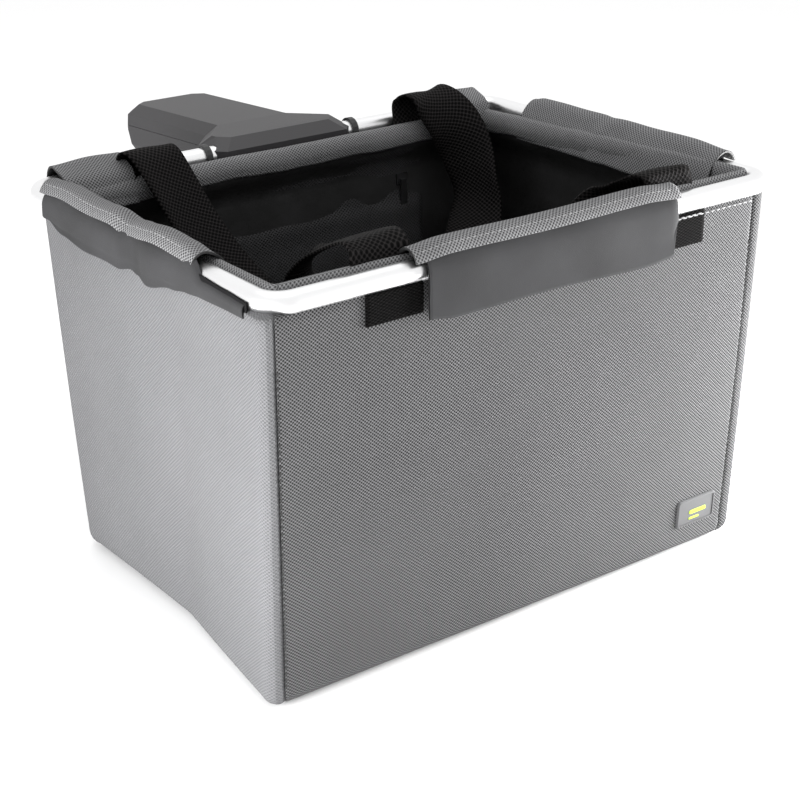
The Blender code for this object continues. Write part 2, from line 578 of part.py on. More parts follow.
def adapter():
    w, s, e = ADAPTER_HALF, STEM_HALF, STEM_END
    front = -REAR_IN + 0.0025
    stop, nose = e - 0.012, s - 0.010
    cover = loft("adapter_cover", [
        plan(front, w, 0.013, s, stop, e, nose, ADAPTER_SPLIT + GAP),
        plan(front, w - 0.0005, 0.013, s - 0.0005, stop - 0.0005, e - 0.0005, nose - 0.0005,
             ADAPTER_SPLIT + 0.0080),
        plan(0.001 - 0.0035, w - 0.009, 0.009, s - 0.008, stop - 0.004, e - 0.010,
             nose - 0.005, ADAPTER_TOP),
    ], "plastic_dark")
    shell = loft("adapter_shell", [
        plan(0.011, w - 0.006, 0.017, s - 0.003, stop - 0.018, e - 0.022, nose - 0.003,
             ADAPTER_LOW),
        plan(0.009, w - 0.003, 0.016, s, stop - 0.004, e - 0.008, nose - 0.001,
             ADAPTER_LOW + 0.0120),
        plan(front, w, 0.013, s, stop, e, nose, ADAPTER_SPLIT - 0.0030),
        plan(front, w, 0.013, s, stop, e, nose, ADAPTER_SPLIT),
    ], "plastic_dark")
    bore = TUBE_R + GAP
    cavity = (-CAVITY_X, CAVITY_X)
    reach = ADAPTER_HALF + 0.03

    def drill(name, x, y, z0, z1, r):
        return rod(name, (x, HALF_Y + y, z0), (x, HALF_Y + y, z1), r, 10, None)

    def tube_hole(name):
        return rod(name, (-reach, HALF_Y, RIM_Z), (reach, HALF_Y, RIM_Z), bore, 24, None)
    room = (ADAPTER_SPLIT - 0.03, ADAPTER_TOP - ROOF - FALL * (CAVITY_Y[1] - 0.020))
    tools = [behind("t1", cavity, (CAVITY_Y[0], CAVITY_Y[1] - 0.002), room, None),
             tube_hole("t2")]
    tools += [drill("t3", x, y, ADAPTER_SPLIT - 0.03, ADAPTER_SPLIT + 0.0070, SCREW_R + GAP)
              for x, y in SCREWS]
    cut(cover, tools)
    tab_room = (TAB_Z[0] - GAP, TAB_Z[1] + GAP)
    tools = [behind("t4", cavity, CAVITY_Y, (ADAPTER_LOW + 0.003, ADAPTER_SPLIT + 0.01), None),
             tube_hole("t5"),
             behind("t6", (-SOCKET_X, SOCKET_X), SOCKET_Y,
                    (ADAPTER_LOW - 0.01, ADAPTER_LOW + 0.01), None),
             behind("t7", (-TAB_X - GAP, TAB_X + GAP), (BOLT_END, e + 0.02), tab_room, None)]
    for x, y in SCREWS:
        tools.append(drill("t8", x, y, ADAPTER_LOW - 0.01, ADAPTER_SPLIT + 0.01, SCREW_R + GAP))
        tools.append(drill("t9", x, y, ADAPTER_LOW - 0.01, ADAPTER_LOW + HEAD_T + 0.0006,
                           HEAD_R + GAP))
    cut(shell, tools)
    for k, (x, y) in enumerate(SCREWS):
        screw(k + 1, x, HALF_Y + y)
    for side, s_x in (("left", -1), ("right", 1)):
        x0 = s_x * (w + 0.0012)
        rod("rim_collar_" + side, (x0, HALF_Y, RIM_Z), (x0 + s_x * 0.0040, HALF_Y, RIM_Z),
            TUBE_R + 0.0018, 16, "plastic_dark", inner=bore)
    # the seat the handlebar bracket bears on, held between the two shells
    edge = CAVITY_X - 0.0005
    behind("socket_plate", (-edge, edge), (CAVITY_Y[0] + 0.0005, SOCKET_Y[1] + 0.004), PLATE_Z,
           "steel")
    # latch: a pull tab at the rear end, its bolt reaching into the socket, and a spring
    pivot = (0, HALF_Y + CAVITY_Y[1], (TAB_Z[0] + TAB_Z[1]) / 2)
    behind("release_tab", (-TAB_X, TAB_X), (BOLT_END + GAP, e - 0.0005), TAB_Z, "plastic_dark",
           pivot)
    behind("latch_bolt", (-0.0100, 0.0100), (SOCKET_Y[1] - 0.004, BOLT_END),
           (TAB_Z[0] - 0.0005, TAB_Z[1]), "steel", pivot)
    spring(HALF_Y + SOCKET_Y[1] + 0.007, HALF_Y + BOLT_END - 0.002, pivot[2])


def screw(number, x, y):
    """A pan-head screw from below, its head in the shell's counterbore."""
    sides = 10
    foot = ADAPTER_LOW + 0.0002
    rings = []
    for r, z in ((HEAD_R, foot), (HEAD_R, foot + HEAD_T), (SCREW_R, foot + HEAD_T),
                 (SCREW_R, ADAPTER_SPLIT + 0.0065)):
        rings.append([(x + r * math.cos(2 * math.pi * i / sides),
                       y + r * math.sin(2 * math.pi * i / sides), z) for i in range(sides)])
    loft("adapter_screw_%d" % number, rings, "steel")


def spring(y0, y1, z0):
    """A small coil spring beside the latch bolt."""
    turns, per, r, wire = 5, 10, 0.0026, 0.0004
    x0 = 0.0160
    rings = []
    for k in range(turns * per + 1):
        t = 2 * math.pi * k / per
        y = y0 + (y1 - y0) * k / (turns * per)
        out = Vector((math.cos(t), 0, math.sin(t)))
        mid = Vector((x0, y, z0)) + out * r
        rings.append([mid + out * (wire * math.cos(a)) + Vector((0, wire * math.sin(a), 0))
                      for a in (0.0, 1.5708, 3.1416, 4.7124)])
    loft("latch_spring", rings, "steel")


rim()
inner = box_walls()
base(inner)
pipings()
flaps()
handle_ends()
handle("front_handle", -1, AXIS_FRONT)
handle("rear_handle", 1, AXIS_REAR)
pocket()
label()
adapter()
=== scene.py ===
# %% [markdown]
# # A cloth basket on a bicycle's handlebar
#
# This basket is a fabric box hung on a bent aluminium tube. Flaps of cloth wrap over the tube and
# close on the outside, two loops of webbing carry it, and a plastic adapter at the back clips it
# to the handlebar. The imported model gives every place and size, so the first step is to load it.

# %% Load the frame and keep its box
import math

import bmesh
import bpy
import numpy as np
from mathutils import Matrix, Vector, noise


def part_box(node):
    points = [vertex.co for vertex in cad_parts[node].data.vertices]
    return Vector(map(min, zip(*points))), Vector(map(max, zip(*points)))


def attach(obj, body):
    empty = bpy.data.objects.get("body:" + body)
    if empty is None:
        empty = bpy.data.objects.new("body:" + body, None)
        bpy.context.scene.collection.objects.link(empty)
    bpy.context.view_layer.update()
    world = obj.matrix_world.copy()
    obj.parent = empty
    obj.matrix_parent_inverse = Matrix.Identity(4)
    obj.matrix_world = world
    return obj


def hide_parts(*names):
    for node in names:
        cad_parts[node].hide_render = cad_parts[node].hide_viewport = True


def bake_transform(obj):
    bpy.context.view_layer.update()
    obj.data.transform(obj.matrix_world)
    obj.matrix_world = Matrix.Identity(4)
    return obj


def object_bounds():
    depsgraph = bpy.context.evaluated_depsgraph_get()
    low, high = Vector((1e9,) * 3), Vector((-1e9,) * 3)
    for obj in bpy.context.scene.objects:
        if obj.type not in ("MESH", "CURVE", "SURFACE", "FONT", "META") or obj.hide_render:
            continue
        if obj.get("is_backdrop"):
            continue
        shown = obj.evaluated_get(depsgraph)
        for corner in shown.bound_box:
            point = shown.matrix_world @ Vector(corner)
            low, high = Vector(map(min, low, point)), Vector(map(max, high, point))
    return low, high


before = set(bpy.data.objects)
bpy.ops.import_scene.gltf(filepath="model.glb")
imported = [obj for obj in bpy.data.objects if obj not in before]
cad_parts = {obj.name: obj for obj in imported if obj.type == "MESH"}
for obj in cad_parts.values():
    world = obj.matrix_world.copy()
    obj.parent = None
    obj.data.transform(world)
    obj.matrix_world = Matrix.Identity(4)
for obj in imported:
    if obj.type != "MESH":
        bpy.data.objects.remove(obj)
cad_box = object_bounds()

# %% [markdown]
# ## Places taken from the frame
#
# Everything that follows hangs on the rim tube, so its centre lines are worked out once from the
# tube's own box. Half the tube's thickness is given as a number.

# %% Rim centre lines
rim_low, rim_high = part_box("rim_frame")
TUBE_R = 0.00635
RIM_X = rim_high.x - TUBE_R
RIM_Y = rim_high.y - TUBE_R
RIM_Z = (rim_low.z + rim_high.z) / 2
RIM_BEND = 0.0135
print("rim", round(RIM_X, 4), round(RIM_Y, 4), round(RIM_Z, 4))

# %% [markdown]
# ## Camera
#
# The view shows two walls of the box and looks down into it. The camera's place is given in
# the frame's own metres and its direction as azimuth, elevation and roll, because those three
# angles are the turn and the tilt of a tripod head.

# %% Camera
def aim(place, azimuth, elevation, roll, focal):
    """A camera at place, looking back along azimuth and elevation, all angles in degrees."""
    a, e, r = (math.radians(v) for v in (azimuth, elevation, roll))
    back = Vector((math.sin(a) * math.cos(e), -math.cos(a) * math.cos(e), math.sin(e)))
    right = Vector((0, 0, 1)).cross(back).normalized()
    up = back.cross(right)
    right, up = (right * math.cos(r) + up * math.sin(r), up * math.cos(r) - right * math.sin(r))
    turn = Matrix((right, up, back)).transposed()
    data = bpy.data.cameras.new("studio_camera")
    data.lens, data.sensor_width = focal, 36.0
    data.clip_start, data.clip_end = 0.05, 20
    cam = bpy.data.objects.new("studio_camera", data)
    cam.matrix_world = Matrix.Translation(place) @ turn.to_4x4()
    bpy.context.scene.collection.objects.link(cam)
    bpy.context.scene.camera = cam
    return cam


aim(Vector((-0.5970, -0.8073, 0.5267)), -36.4063, 23.0679, -0.8057, 77.06)
print("camera set")

# %% [markdown]
# ## Small tools for shader nodes
#
# Materials here are built from nodes in code. One helper adds a node, sets its options and fills
# or links its sockets, so that each material below reads as a short recipe.

# %% Node helpers
def add(tree, kind, ins=None, **options):
    """A node of that kind. ins fills sockets by name or number, with a value or a socket."""
    n = tree.nodes.new("ShaderNode" + kind)
    for key, value in options.items():
        setattr(n, key, value)
    for key, value in (ins or {}).items():
        if isinstance(value, bpy.types.NodeSocket):
            tree.links.new(value, n.inputs[key])
        else:
            n.inputs[key].default_value = value
    return n


def new_group(name, inputs, outputs):
    """An empty shader group with its sockets: (name, kind, default) and (name, kind)."""
    tree = bpy.data.node_groups.new(name, "ShaderNodeTree")
    for label, kind, value in inputs:
        s = tree.interface.new_socket(label, in_out="INPUT", socket_type="NodeSocket" + kind)
        s.default_value = value
    for label, kind in outputs:
        tree.interface.new_socket(label, in_out="OUTPUT", socket_type="NodeSocket" + kind)
    return tree, tree.nodes.new("NodeGroupInput").outputs, tree.nodes.new("NodeGroupOutput").inputs


def place_group(tree, group, **ins):
    """The group as a node in a material, with its inputs set by name."""
    n = tree.nodes.new("ShaderNodeGroup")
    n.node_tree = group
    for key, value in ins.items():
        n.inputs[key.replace("_", " ")].default_value = value
    return n


def material(name):
    """A new material with its tree and its Principled shader."""
    mat = bpy.data.materials.new(name)
    mat.use_nodes = True
    return mat, mat.node_tree, mat.node_tree.nodes["Principled BSDF"]


def dress(tree, shader, colour, height, depth, strength=0.5, **values):
    """Links colour and relief into the shader and sets its other inputs by name."""
    tree.links.new(colour, shader.inputs["Base Color"])
    bump = add(tree, "Bump", {"Height": height, "Distance": depth, "Strength": strength})
    tree.links.new(bump.outputs[0], shader.inputs["Normal"])
    for key, value in values.items():
        shader.inputs[key.replace("_", " ")].default_value = value


print("node helpers ready")

# %% [markdown]
# ## Weave as a group
#
# The grey cloth is a honeycomb weave: little wells in staggered rows with pale ribs between them.
# The wells' dark colour is painted shade, the shade that falls into them. The webbing is the same
# idea at another size. Both come from one group, which measures how far a point is from the nearest
# well of two grids shifted by half a step. The cloth map is laid in metres along the cloth, so the
# pattern keeps its size and follows every bend.

# %% Staggered weave group
def weave_group():
    tree, i, o = new_group("staggered weave", [
        ("Step across", "Float", 0.0026), ("Step along", "Float", 0.0024),
        ("Well size", "Float", 0.30), ("Softness", "Float", 0.14),
        ("Unevenness", "Float", 0.06)], [("Well", "Float"), ("Relief", "Float")])
    at = add(tree, "UVMap", uv_map="cloth").outputs[0]
    size = add(tree, "CombineXYZ", {0: i["Step across"], 1: i["Step along"], 2: 1.0}).outputs[0]

    def step(operation, a, b=None):
        ins = {0: a} if b is None else {0: a, 1: b}
        return add(tree, "VectorMath", ins, operation=operation).outputs[0]
    cell = step("DIVIDE", at, size)
    wobble = add(tree, "TexNoise", {"Vector": cell, "Scale": 0.35, "Detail": 2.0})
    off = step("SUBTRACT", wobble.outputs["Color"], (0.5, 0.5, 0.5))
    off = add(tree, "VectorMath", {0: off, "Scale": i["Unevenness"]}, operation="SCALE").outputs[0]
    cell = step("ADD", cell, off)
    reach = []
    for shift in (0.0, 0.5):
        p = step("FRACTION", step("ADD", cell, (shift, shift, 0)))
        p = step("MULTIPLY", step("SUBTRACT", p, (0.5, 0.5, 0)), (1, 1, 0))
        reach.append(add(tree, "VectorMath", {0: p}, operation="LENGTH").outputs["Value"])
    near = add(tree, "Math", {0: reach[0], 1: reach[1]}, operation="MINIMUM").outputs[0]
    outer = add(tree, "Math", {0: i["Well size"], 1: i["Softness"]}, operation="ADD").outputs[0]
    inner = add(tree, "Math", {0: i["Well size"], 1: i["Softness"]},
                operation="SUBTRACT").outputs[0]
    shaded_well = add(tree, "MapRange", {"Value": near, "From Min": outer, "From Max": inner},
               interpolation_type="SMOOTHSTEP").outputs[0]
    tree.links.new(shaded_well, o["Well"])
    relief = add(tree, "Math", {0: 1.0, 1: shaded_well}, operation="SUBTRACT").outputs[0]
    tree.links.new(relief, o["Relief"])
    return tree


WEAVE = weave_group()
print("group", WEAVE.name)

# %% [markdown]
# ## Wear and fibre as a second group
#
# No cloth or plastic is one even tone. This group gives a slow drift of tone, as from handling,
# and a fine fuzz for the surface's relief. Every material takes the amounts that suit it.

# %% Tone drift group
def drift_group():
    tree, i, o = new_group("tone drift", [
        ("Patch scale", "Float", 9.0), ("Fuzz scale", "Float", 1400.0)],
        [("Tone", "Float"), ("Fuzz", "Float")])
    at = add(tree, "TexCoord").outputs["Object"]
    slow = add(tree, "TexNoise", {"Vector": at, "Scale": i["Patch scale"], "Detail": 4.0})
    tone = add(tree, "MapRange", {"Value": slow.outputs["Fac"], "From Min": 0.3,
                                  "From Max": 0.7}).outputs[0]
    fine = add(tree, "TexNoise", {"Vector": at, "Scale": i["Fuzz scale"], "Detail": 3.0})
    tree.links.new(tone, o["Tone"])
    tree.links.new(fine.outputs["Fac"], o["Fuzz"])
    return tree


DRIFT = drift_group()
print("group", DRIFT.name)

# %% [markdown]
# ## The materials
#
# Each finish is its own material: grey honeycomb cloth, the smooth brushed cloth of the loose
# tails, black webbing, coated black lining, satin aluminium, fine-textured plastic, rubber, thread
# and zip. The grey cloth also comes in paler copies for the left wall, the sleeves and the facing,
# which are painted light, and the webbing in a darker copy for the patches, which is painted shade.
# Cloth gets a little sheen, because fibres catch light at grazing angles.

# %% Cloth materials
def mix_colour(tree, share, first, second):
    """Two colours mixed by a socket."""
    return add(tree, "Mix", {0: share, 6: (*first, 1), 7: (*second, 1)},
               data_type="RGBA").outputs[2]


def woven(name, rib, shaded_well, step, size=0.30, soft=0.14, rough=0.9, depth=0.0004, sheen=0.01,
          drift=0.12, uneven=0.06, gloss=0.25):
    """A woven cloth: rib colour, a darker well colour that is painted shade, step across and along
    in metres.
    """
    mat, tree, shader = material(name)
    w = place_group(tree, WEAVE, Step_across=step[0], Step_along=step[1], Well_size=size,
                    Softness=soft, Unevenness=uneven)
    d = place_group(tree, DRIFT)
    # The wells take the darker colour: painted shade in the weave's hollows.
    base = mix_colour(tree, w.outputs["Well"], rib, shaded_well)
    shade = mix_colour(tree, d.outputs["Tone"], tuple([1 - drift] * 3), (1, 1, 1))
    colour = add(tree, "Mix", {0: 1.0, 6: base, 7: shade}, data_type="RGBA",
                 blend_type="MULTIPLY").outputs[2]
    lift = add(tree, "Math", {0: d.outputs["Fuzz"], 1: 0.25, 2: w.outputs["Relief"]},
               operation="MULTIPLY_ADD").outputs[0]
    dress(tree, shader, colour, lift, depth, 0.8, Roughness=rough, Sheen_Weight=sheen,
          Specular_IOR_Level=gloss)
    return mat


# The second colour of each woven cloth is painted shade in its wells.
GREY_CLOTH = woven("grey honeycomb cloth", (0.158, 0.158, 0.162), (0.005, 0.005, 0.005),
                   (0.0024, 0.0021), size=0.27, soft=0.13)
# A paler copy of the grey cloth for the brightly lit left wall: its lighter ribs and much lighter
# wells are painted light.
LIT_SIDE_CLOTH = woven("grey cloth lit left wall copy", (0.185, 0.186, 0.192), (0.100, 0.100, 0.104),
                   (0.0024, 0.0021), size=0.25, soft=0.18)
# A paler copy of the grey cloth for the sleeves, whose tops catch the light: painted light.
LIT_SLEEVE_CLOTH = woven("grey sleeve cloth lit copy", (0.250, 0.250, 0.256), (0.035, 0.035, 0.036),
                     (0.0024, 0.0021), size=0.25, soft=0.14)
# A paler copy of the grey cloth for the facing band on the top edge: painted light.
LIT_FACING_CLOTH = woven("grey facing cloth lit copy", (0.270, 0.270, 0.276), (0.045, 0.045, 0.046),
                     (0.0024, 0.0021), size=0.25, soft=0.16)
WEBBING = woven("black webbing", (0.024, 0.022, 0.022), (0.001, 0.001, 0.001),
                (0.0036, 0.0030), size=0.30, soft=0.14, rough=0.7, depth=0.0006, sheen=0,
                gloss=0.06)
# A darker copy of the loops' webbing for the patches on the walls: painted shade.
SHADED_PATCH_WEB = woven("black patch webbing shaded copy", (0.0095, 0.009, 0.009), (0.001, 0.001, 0.001),
                  (0.0036, 0.0018), size=0.30, soft=0.14, rough=0.8, depth=0.0006,
                  sheen=0, gloss=0.03)
MESH_CLOTH = woven("black pocket mesh", (0.050, 0.050, 0.052), (0.008, 0.008, 0.008),
                   (0.0028, 0.0024), size=0.22, soft=0.14, rough=0.5, depth=0.0004)
print("woven materials made")

# %% Smooth cloth, lining, thread
def brushed_cloth():
    """Loop cloth brushed smooth: soft cloudy tone with a short nap."""
    mat, tree, shader = material("brushed tail cloth")
    d = place_group(tree, DRIFT, Patch_scale=26.0, Fuzz_scale=2200.0)
    colour = mix_colour(tree, d.outputs["Tone"], (0.029, 0.029, 0.030), (0.040, 0.040, 0.042))
    dress(tree, shader, colour, d.outputs["Fuzz"], 0.0003, Roughness=0.9, Sheen_Weight=0.02,
          Specular_IOR_Level=0.2)
    return mat


def coated_nylon():
    """Black lining with a thin coating: fine wrinkles and a low gloss."""
    mat, tree, shader = material("black coated lining")
    d = place_group(tree, DRIFT, Patch_scale=45.0, Fuzz_scale=900.0)
    colour = mix_colour(tree, d.outputs["Tone"], (0.012, 0.012, 0.012), (0.021, 0.021, 0.0215))
    lift = add(tree, "Math", {0: d.outputs["Tone"], 1: 3.0, 2: d.outputs["Fuzz"]},
               operation="MULTIPLY_ADD").outputs[0]
    dress(tree, shader, colour, lift, 0.0004, Roughness=0.55)
    return mat


def plain(name, colour, rough, metal=0.0, fuzz=1400.0, depth=0.0001, spread=0.15, gloss=0.5):
    """A moulded or spun finish: one colour with a drift of tone and a fine relief."""
    mat, tree, shader = material(name)
    d = place_group(tree, DRIFT, Fuzz_scale=fuzz)
    low = tuple(c * (1 - spread) for c in colour)
    dress(tree, shader, mix_colour(tree, d.outputs["Tone"], low, colour), d.outputs["Fuzz"],
          depth, Roughness=rough, Metallic=metal, Specular_IOR_Level=gloss)
    return mat


TAIL_CLOTH = brushed_cloth()
LINING = coated_nylon()
THREAD_PALE = plain("pale thread", (0.34, 0.34, 0.345), 0.8)
THREAD_DARK = plain("dark thread", (0.02, 0.02, 0.02), 0.8)
ALUMINIUM = plain("satin aluminium", (0.90, 0.90, 0.905), 0.32, metal=1.0, fuzz=2500.0,
                  depth=0.00002, spread=0.03)
PLASTIC = plain("fine textured plastic", (0.027, 0.0255, 0.028), 0.5, fuzz=2600.0,
                depth=0.00012)
DARK_PLASTIC = plain("dark moulded plastic", (0.02, 0.02, 0.021), 0.45, fuzz=1800.0)
STEEL = plain("plated steel", (0.5, 0.5, 0.51), 0.32, metal=1.0)
RUBBER = plain("soft rubber", (0.085, 0.085, 0.088), 0.65, fuzz=1500.0)
LIME = plain("lime rubber", (0.42, 0.60, 0.03), 0.55)
ZIP_METAL = plain("blackened zip metal", (0.22, 0.22, 0.225), 0.35, metal=1.0)
HOOK_TAPE = plain("hook tape", (0.012, 0.012, 0.0125), 0.8, fuzz=700.0, depth=0.0008, gloss=0.04)
print("other materials made")

# %% [markdown]
# ## Cloth as grids
#
# Sewn cloth is easiest to make as a grid of points that follows the real shape, given a little
# thickness. The helper also writes the cloth map, in metres measured along the grid, which the
# weave reads.

# %% Grid helper
def cloth(name, grid, mat, body, thick=0.0, inward=1.0, shift=(0, 0), back=None):
    """A cloth piece from rows of points, riding on a body. thick adds a second face."""
    pts = np.array([[tuple(p) for p in row] for row in grid], dtype=float)
    rows, cols = pts.shape[:2]
    verts = pts.reshape(-1, 3)
    faces = [(r * cols + c, r * cols + c + 1, (r + 1) * cols + c + 1, (r + 1) * cols + c)
             for r in range(rows - 1) for c in range(cols - 1)]
    me = bpy.data.meshes.new(name)
    me.from_pydata(verts.tolist(), [], faces)
    along = np.linalg.norm(np.diff(pts[rows // 2], axis=0), axis=1)
    up = np.linalg.norm(np.diff(pts[:, cols // 2], axis=0), axis=1)
    us = np.concatenate([[0], np.cumsum(along)]) + shift[0]
    vs = np.concatenate([[0], np.cumsum(up)]) + shift[1]
    uv = me.uv_layers.new(name="cloth")
    flat = np.zeros((len(me.loops), 2))
    index = np.zeros(len(me.loops), dtype=int)
    me.loops.foreach_get("vertex_index", index)
    flat[:, 0], flat[:, 1] = us[index % cols], vs[index // cols]
    uv.data.foreach_set("uv", flat.ravel())
    ob = bpy.data.objects.new(name, me)
    bpy.context.scene.collection.objects.link(ob)
    me.materials.append(mat)
    me.polygons.foreach_set("use_smooth", [True] * len(me.polygons))
    if thick:
        mod = ob.modifiers.new("thickness", "SOLIDIFY")
        mod.thickness, mod.offset = thick, -inward
        mod.use_even_offset = False
        if back:
            me.materials.append(back)
            mod.material_offset = 1
    if body:
        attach(ob, body)
    return ob


def hold(piece, slot, *nodes):
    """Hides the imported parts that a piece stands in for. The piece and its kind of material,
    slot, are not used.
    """
    if nodes:
        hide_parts(*nodes)


def from_bmesh(name, bm, mat):
    """An object of the basket made from bmesh data."""
    bmesh.ops.recalc_face_normals(bm, faces=bm.faces)
    me = bpy.data.meshes.new(name)
    bm.to_mesh(me)
    bm.free()
    me.materials.append(mat)
    ob = bpy.data.objects.new(name, me)
    bpy.context.scene.collection.objects.link(ob)
    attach(ob, "basket")
    return ob


def blend_keys(keys, count):
    """Points on a smooth curve through the keys, count of them, by Catmull and Rom's rule."""
    k = np.array(keys, dtype=float)
    ext = np.vstack([2 * k[0] - k[1], k, 2 * k[-1] - k[-2]])
    out = []
    for s in np.linspace(0, len(k) - 1, count):
        i = min(int(s), len(k) - 2)
        t = s - i
        p0, p1, p2, p3 = ext[i], ext[i + 1], ext[i + 2], ext[i + 3]
        out.append(0.5 * (2 * p1 + (p2 - p0) * t + (2 * p0 - 5 * p1 + 4 * p2 - p3) * t * t
                          + (3 * p1 - p0 - 3 * p2 + p3) * t ** 3))
    return np.array(out)


def ripple(x, y, z, scale, seed):
    """Smooth repeatable noise between about -1 and 1."""
    return noise.noise(Vector((x * scale + seed, y * scale - seed, z * scale)))


print("cloth helpers ready")

# %% [markdown]
# ## The shape of the sewn box
#
# The box is loose between its four corners: it tapers to the foot, rounds under at the base,
# and at the top it turns in under the tube and stands up again inside it. The corners are not
# quite square, because a sewn bag never is. A ring of points at each height gives the whole wall.

# %% Ring of the wall
FOOT = {"A": (-0.1840, -0.1240), "B": (0.1752, -0.1270), "C": (0.1740, 0.1220),
        "D": (-0.1680, 0.1240)}
HEAD = {"A": (-0.1862, -0.1367), "B": (0.1772, -0.1360), "C": (0.1780, 0.1345),
        "D": (-0.1750, 0.1315)}
BEND = {"A": (0.0088, 0.0068), "B": (0.013, 0.0125), "C": (0.010, 0.010), "D": (0.010, 0.010)}
TURN_IN = {"A": 1.25, "B": 0.7, "D": 0.8}
ORDER = "ABCD"
NECK_Z = 0.2270
FOOT_R = 0.011
BEND_COLS = 12
SHARES = [0, 0.004, 0.010, 0.018] + list(np.linspace(0.03, 0.97, 60)) + [0.982, 0.990, 0.996, 1]


def ring_columns():
    """Names of the columns round the wall: a side with a share, or a corner with a share."""
    cols = []
    for i in range(4):
        cols += [("side", i, s) for s in SHARES]
        cols += [("bend", (i + 1) % 4, s) for s in np.linspace(0, 1, BEND_COLS)[1:-1]]
    return cols


COLUMNS = ring_columns()


def flat_ring(height, inset_f, inset_r):
    """The wall's outline at a height, drawn in at the front and at the rear, as x and y."""
    k = min(max(height / NECK_Z, 0), 1)
    k = k + 0.05 * math.sin(math.pi * k)
    pts, bend = {}, {}
    for c in ORDER:
        inset = inset_f if c in "AB" else inset_r
        p = np.array(FOOT[c]) * (1 - k) + np.array(HEAD[c]) * k
        pts[c] = p - np.sign(p) * inset * np.array((TURN_IN.get(c, 1.0), 1.0))
        bend[c] = max(BEND[c][0] * (1 - k) + BEND[c][1] * k - 0.6 * inset, 0.0045)
    out = []
    for kind, i, s in COLUMNS:
        if kind == "side":
            a, b = ORDER[i], ORDER[(i + 1) % 4]
            run = (pts[b] - pts[a]) / np.linalg.norm(pts[b] - pts[a])
            start, end = pts[a] + run * bend[a], pts[b] - run * bend[b]
            out.append(start + (end - start) * s)
        else:
            c, before, after = ORDER[i], ORDER[i - 1], ORDER[(i + 1) % 4]
            d0 = (pts[before] - pts[c]) / np.linalg.norm(pts[before] - pts[c])
            d1 = (pts[after] - pts[c]) / np.linalg.norm(pts[after] - pts[c])
            t0, t1 = pts[c] + d0 * bend[c], pts[c] + d1 * bend[c]
            out.append(t0 * (1 - s) ** 2 + pts[c] * 2 * s * (1 - s) + t1 * s * s)
    return np.array(out)


print("columns round the wall:", len(COLUMNS))

# %% [markdown]
# ## Creases of the side walls
#
# The side walls are pressed to fold inwards, so that the empty basket lies flat. A pressed line
# runs down each side a third of the way from the front, a slanting one runs from it to the rear
# foot, and the triangle under the slant is drawn in. The front and rear walls hold boards, so
# they only swell a little.

# %% Wall relief
CREASE_TOP, CREASE_FOOT = -0.034, -0.006
SLANT_FROM, SLANT_TO = np.array((-0.026, 0.131)), np.array((0.100, 0.028))
DRAWN_IN = 0.0088
SLANT_DEEP = 0.086


def side_relief(y, z):
    """How far a side wall stands out (negative: in) at a depth and a height."""
    line = CREASE_FOOT + (CREASE_TOP - CREASE_FOOT) * min(z / 0.15, 1)
    run = (SLANT_TO - SLANT_FROM) / np.linalg.norm(SLANT_TO - SLANT_FROM)
    down = np.array((run[1], -run[0]))

    def under(yy):
        return max(0.0, float(np.dot(np.array((yy, z)) - SLANT_FROM, down)))
    ridge = DRAWN_IN * under(max(y, line)) / SLANT_DEEP
    if y < line:
        ridge *= max(0.0, (y + 0.118) / (line + 0.118))
    fold = 0.0046 * max(0.0, min(1, (0.225 - z) / 0.03)) * min(1, z / 0.08)
    spread = 0.070 if y < line else 0.050
    ridge += fold * max(0.0, 1 - abs(y - line) / spread)
    edge = min(1.0, max(0.0, (0.124 - abs(y)) / 0.012))
    return -ridge * edge + 0.0008 * ripple(y, z, 0.3, 14, 2.0) * edge


def board_relief(x, z, seed):
    """Front and rear walls: a slight swell and slow waves."""
    swell = math.cos(math.pi * x / 0.36) * math.sin(math.pi * min(z / 0.24, 1))
    return 0.0012 * swell + 0.0007 * ripple(x, z, 0.1, 11, seed)


def wall_grid(rows, depth=0.0, relief=1.0):
    """Rows of points round the whole wall. A row is height and inset, front and rear."""
    grid = []
    for zf, zr, inset_f, inset_r in rows:
        ring = flat_ring((zf + zr) / 2, inset_f + depth, inset_r + depth)
        ahead = np.roll(ring, -1, axis=0) - np.roll(ring, 1, axis=0)
        out = np.stack([ahead[:, 1], -ahead[:, 0]], axis=1)
        out /= np.linalg.norm(out, axis=1)[:, None]
        row = []
        for (x, y), n, (kind, i, s) in zip(ring, out, COLUMNS):
            back = min(max((y + 0.137) / 0.274, 0), 1)
            back = back * back * (3 - 2 * back)
            z = zf + (zr - zf) * back
            push = 0.0
            if kind == "side" and relief:
                if i in (1, 3):
                    push += side_relief(y, z) * relief
                else:
                    push += board_relief(x, z, i * 3.0) * relief
            row.append((x + n[0] * push, y + n[1] * push, z))
        grid.append(row)
    return grid


print("relief at the fold's foot, mm:", round(side_relief(-0.006, 0.012) * 1000, 1))

# %% [markdown]
# ## The four outer panels
#
# The outer wall is four panels of grey honeycomb cloth. Cutting one ring of points at the seams
# gives panels that meet exactly. At each seam both edges dip inwards, which makes the groove that
# a sewn seam has, and the side panel's edge swells over its seam allowance.

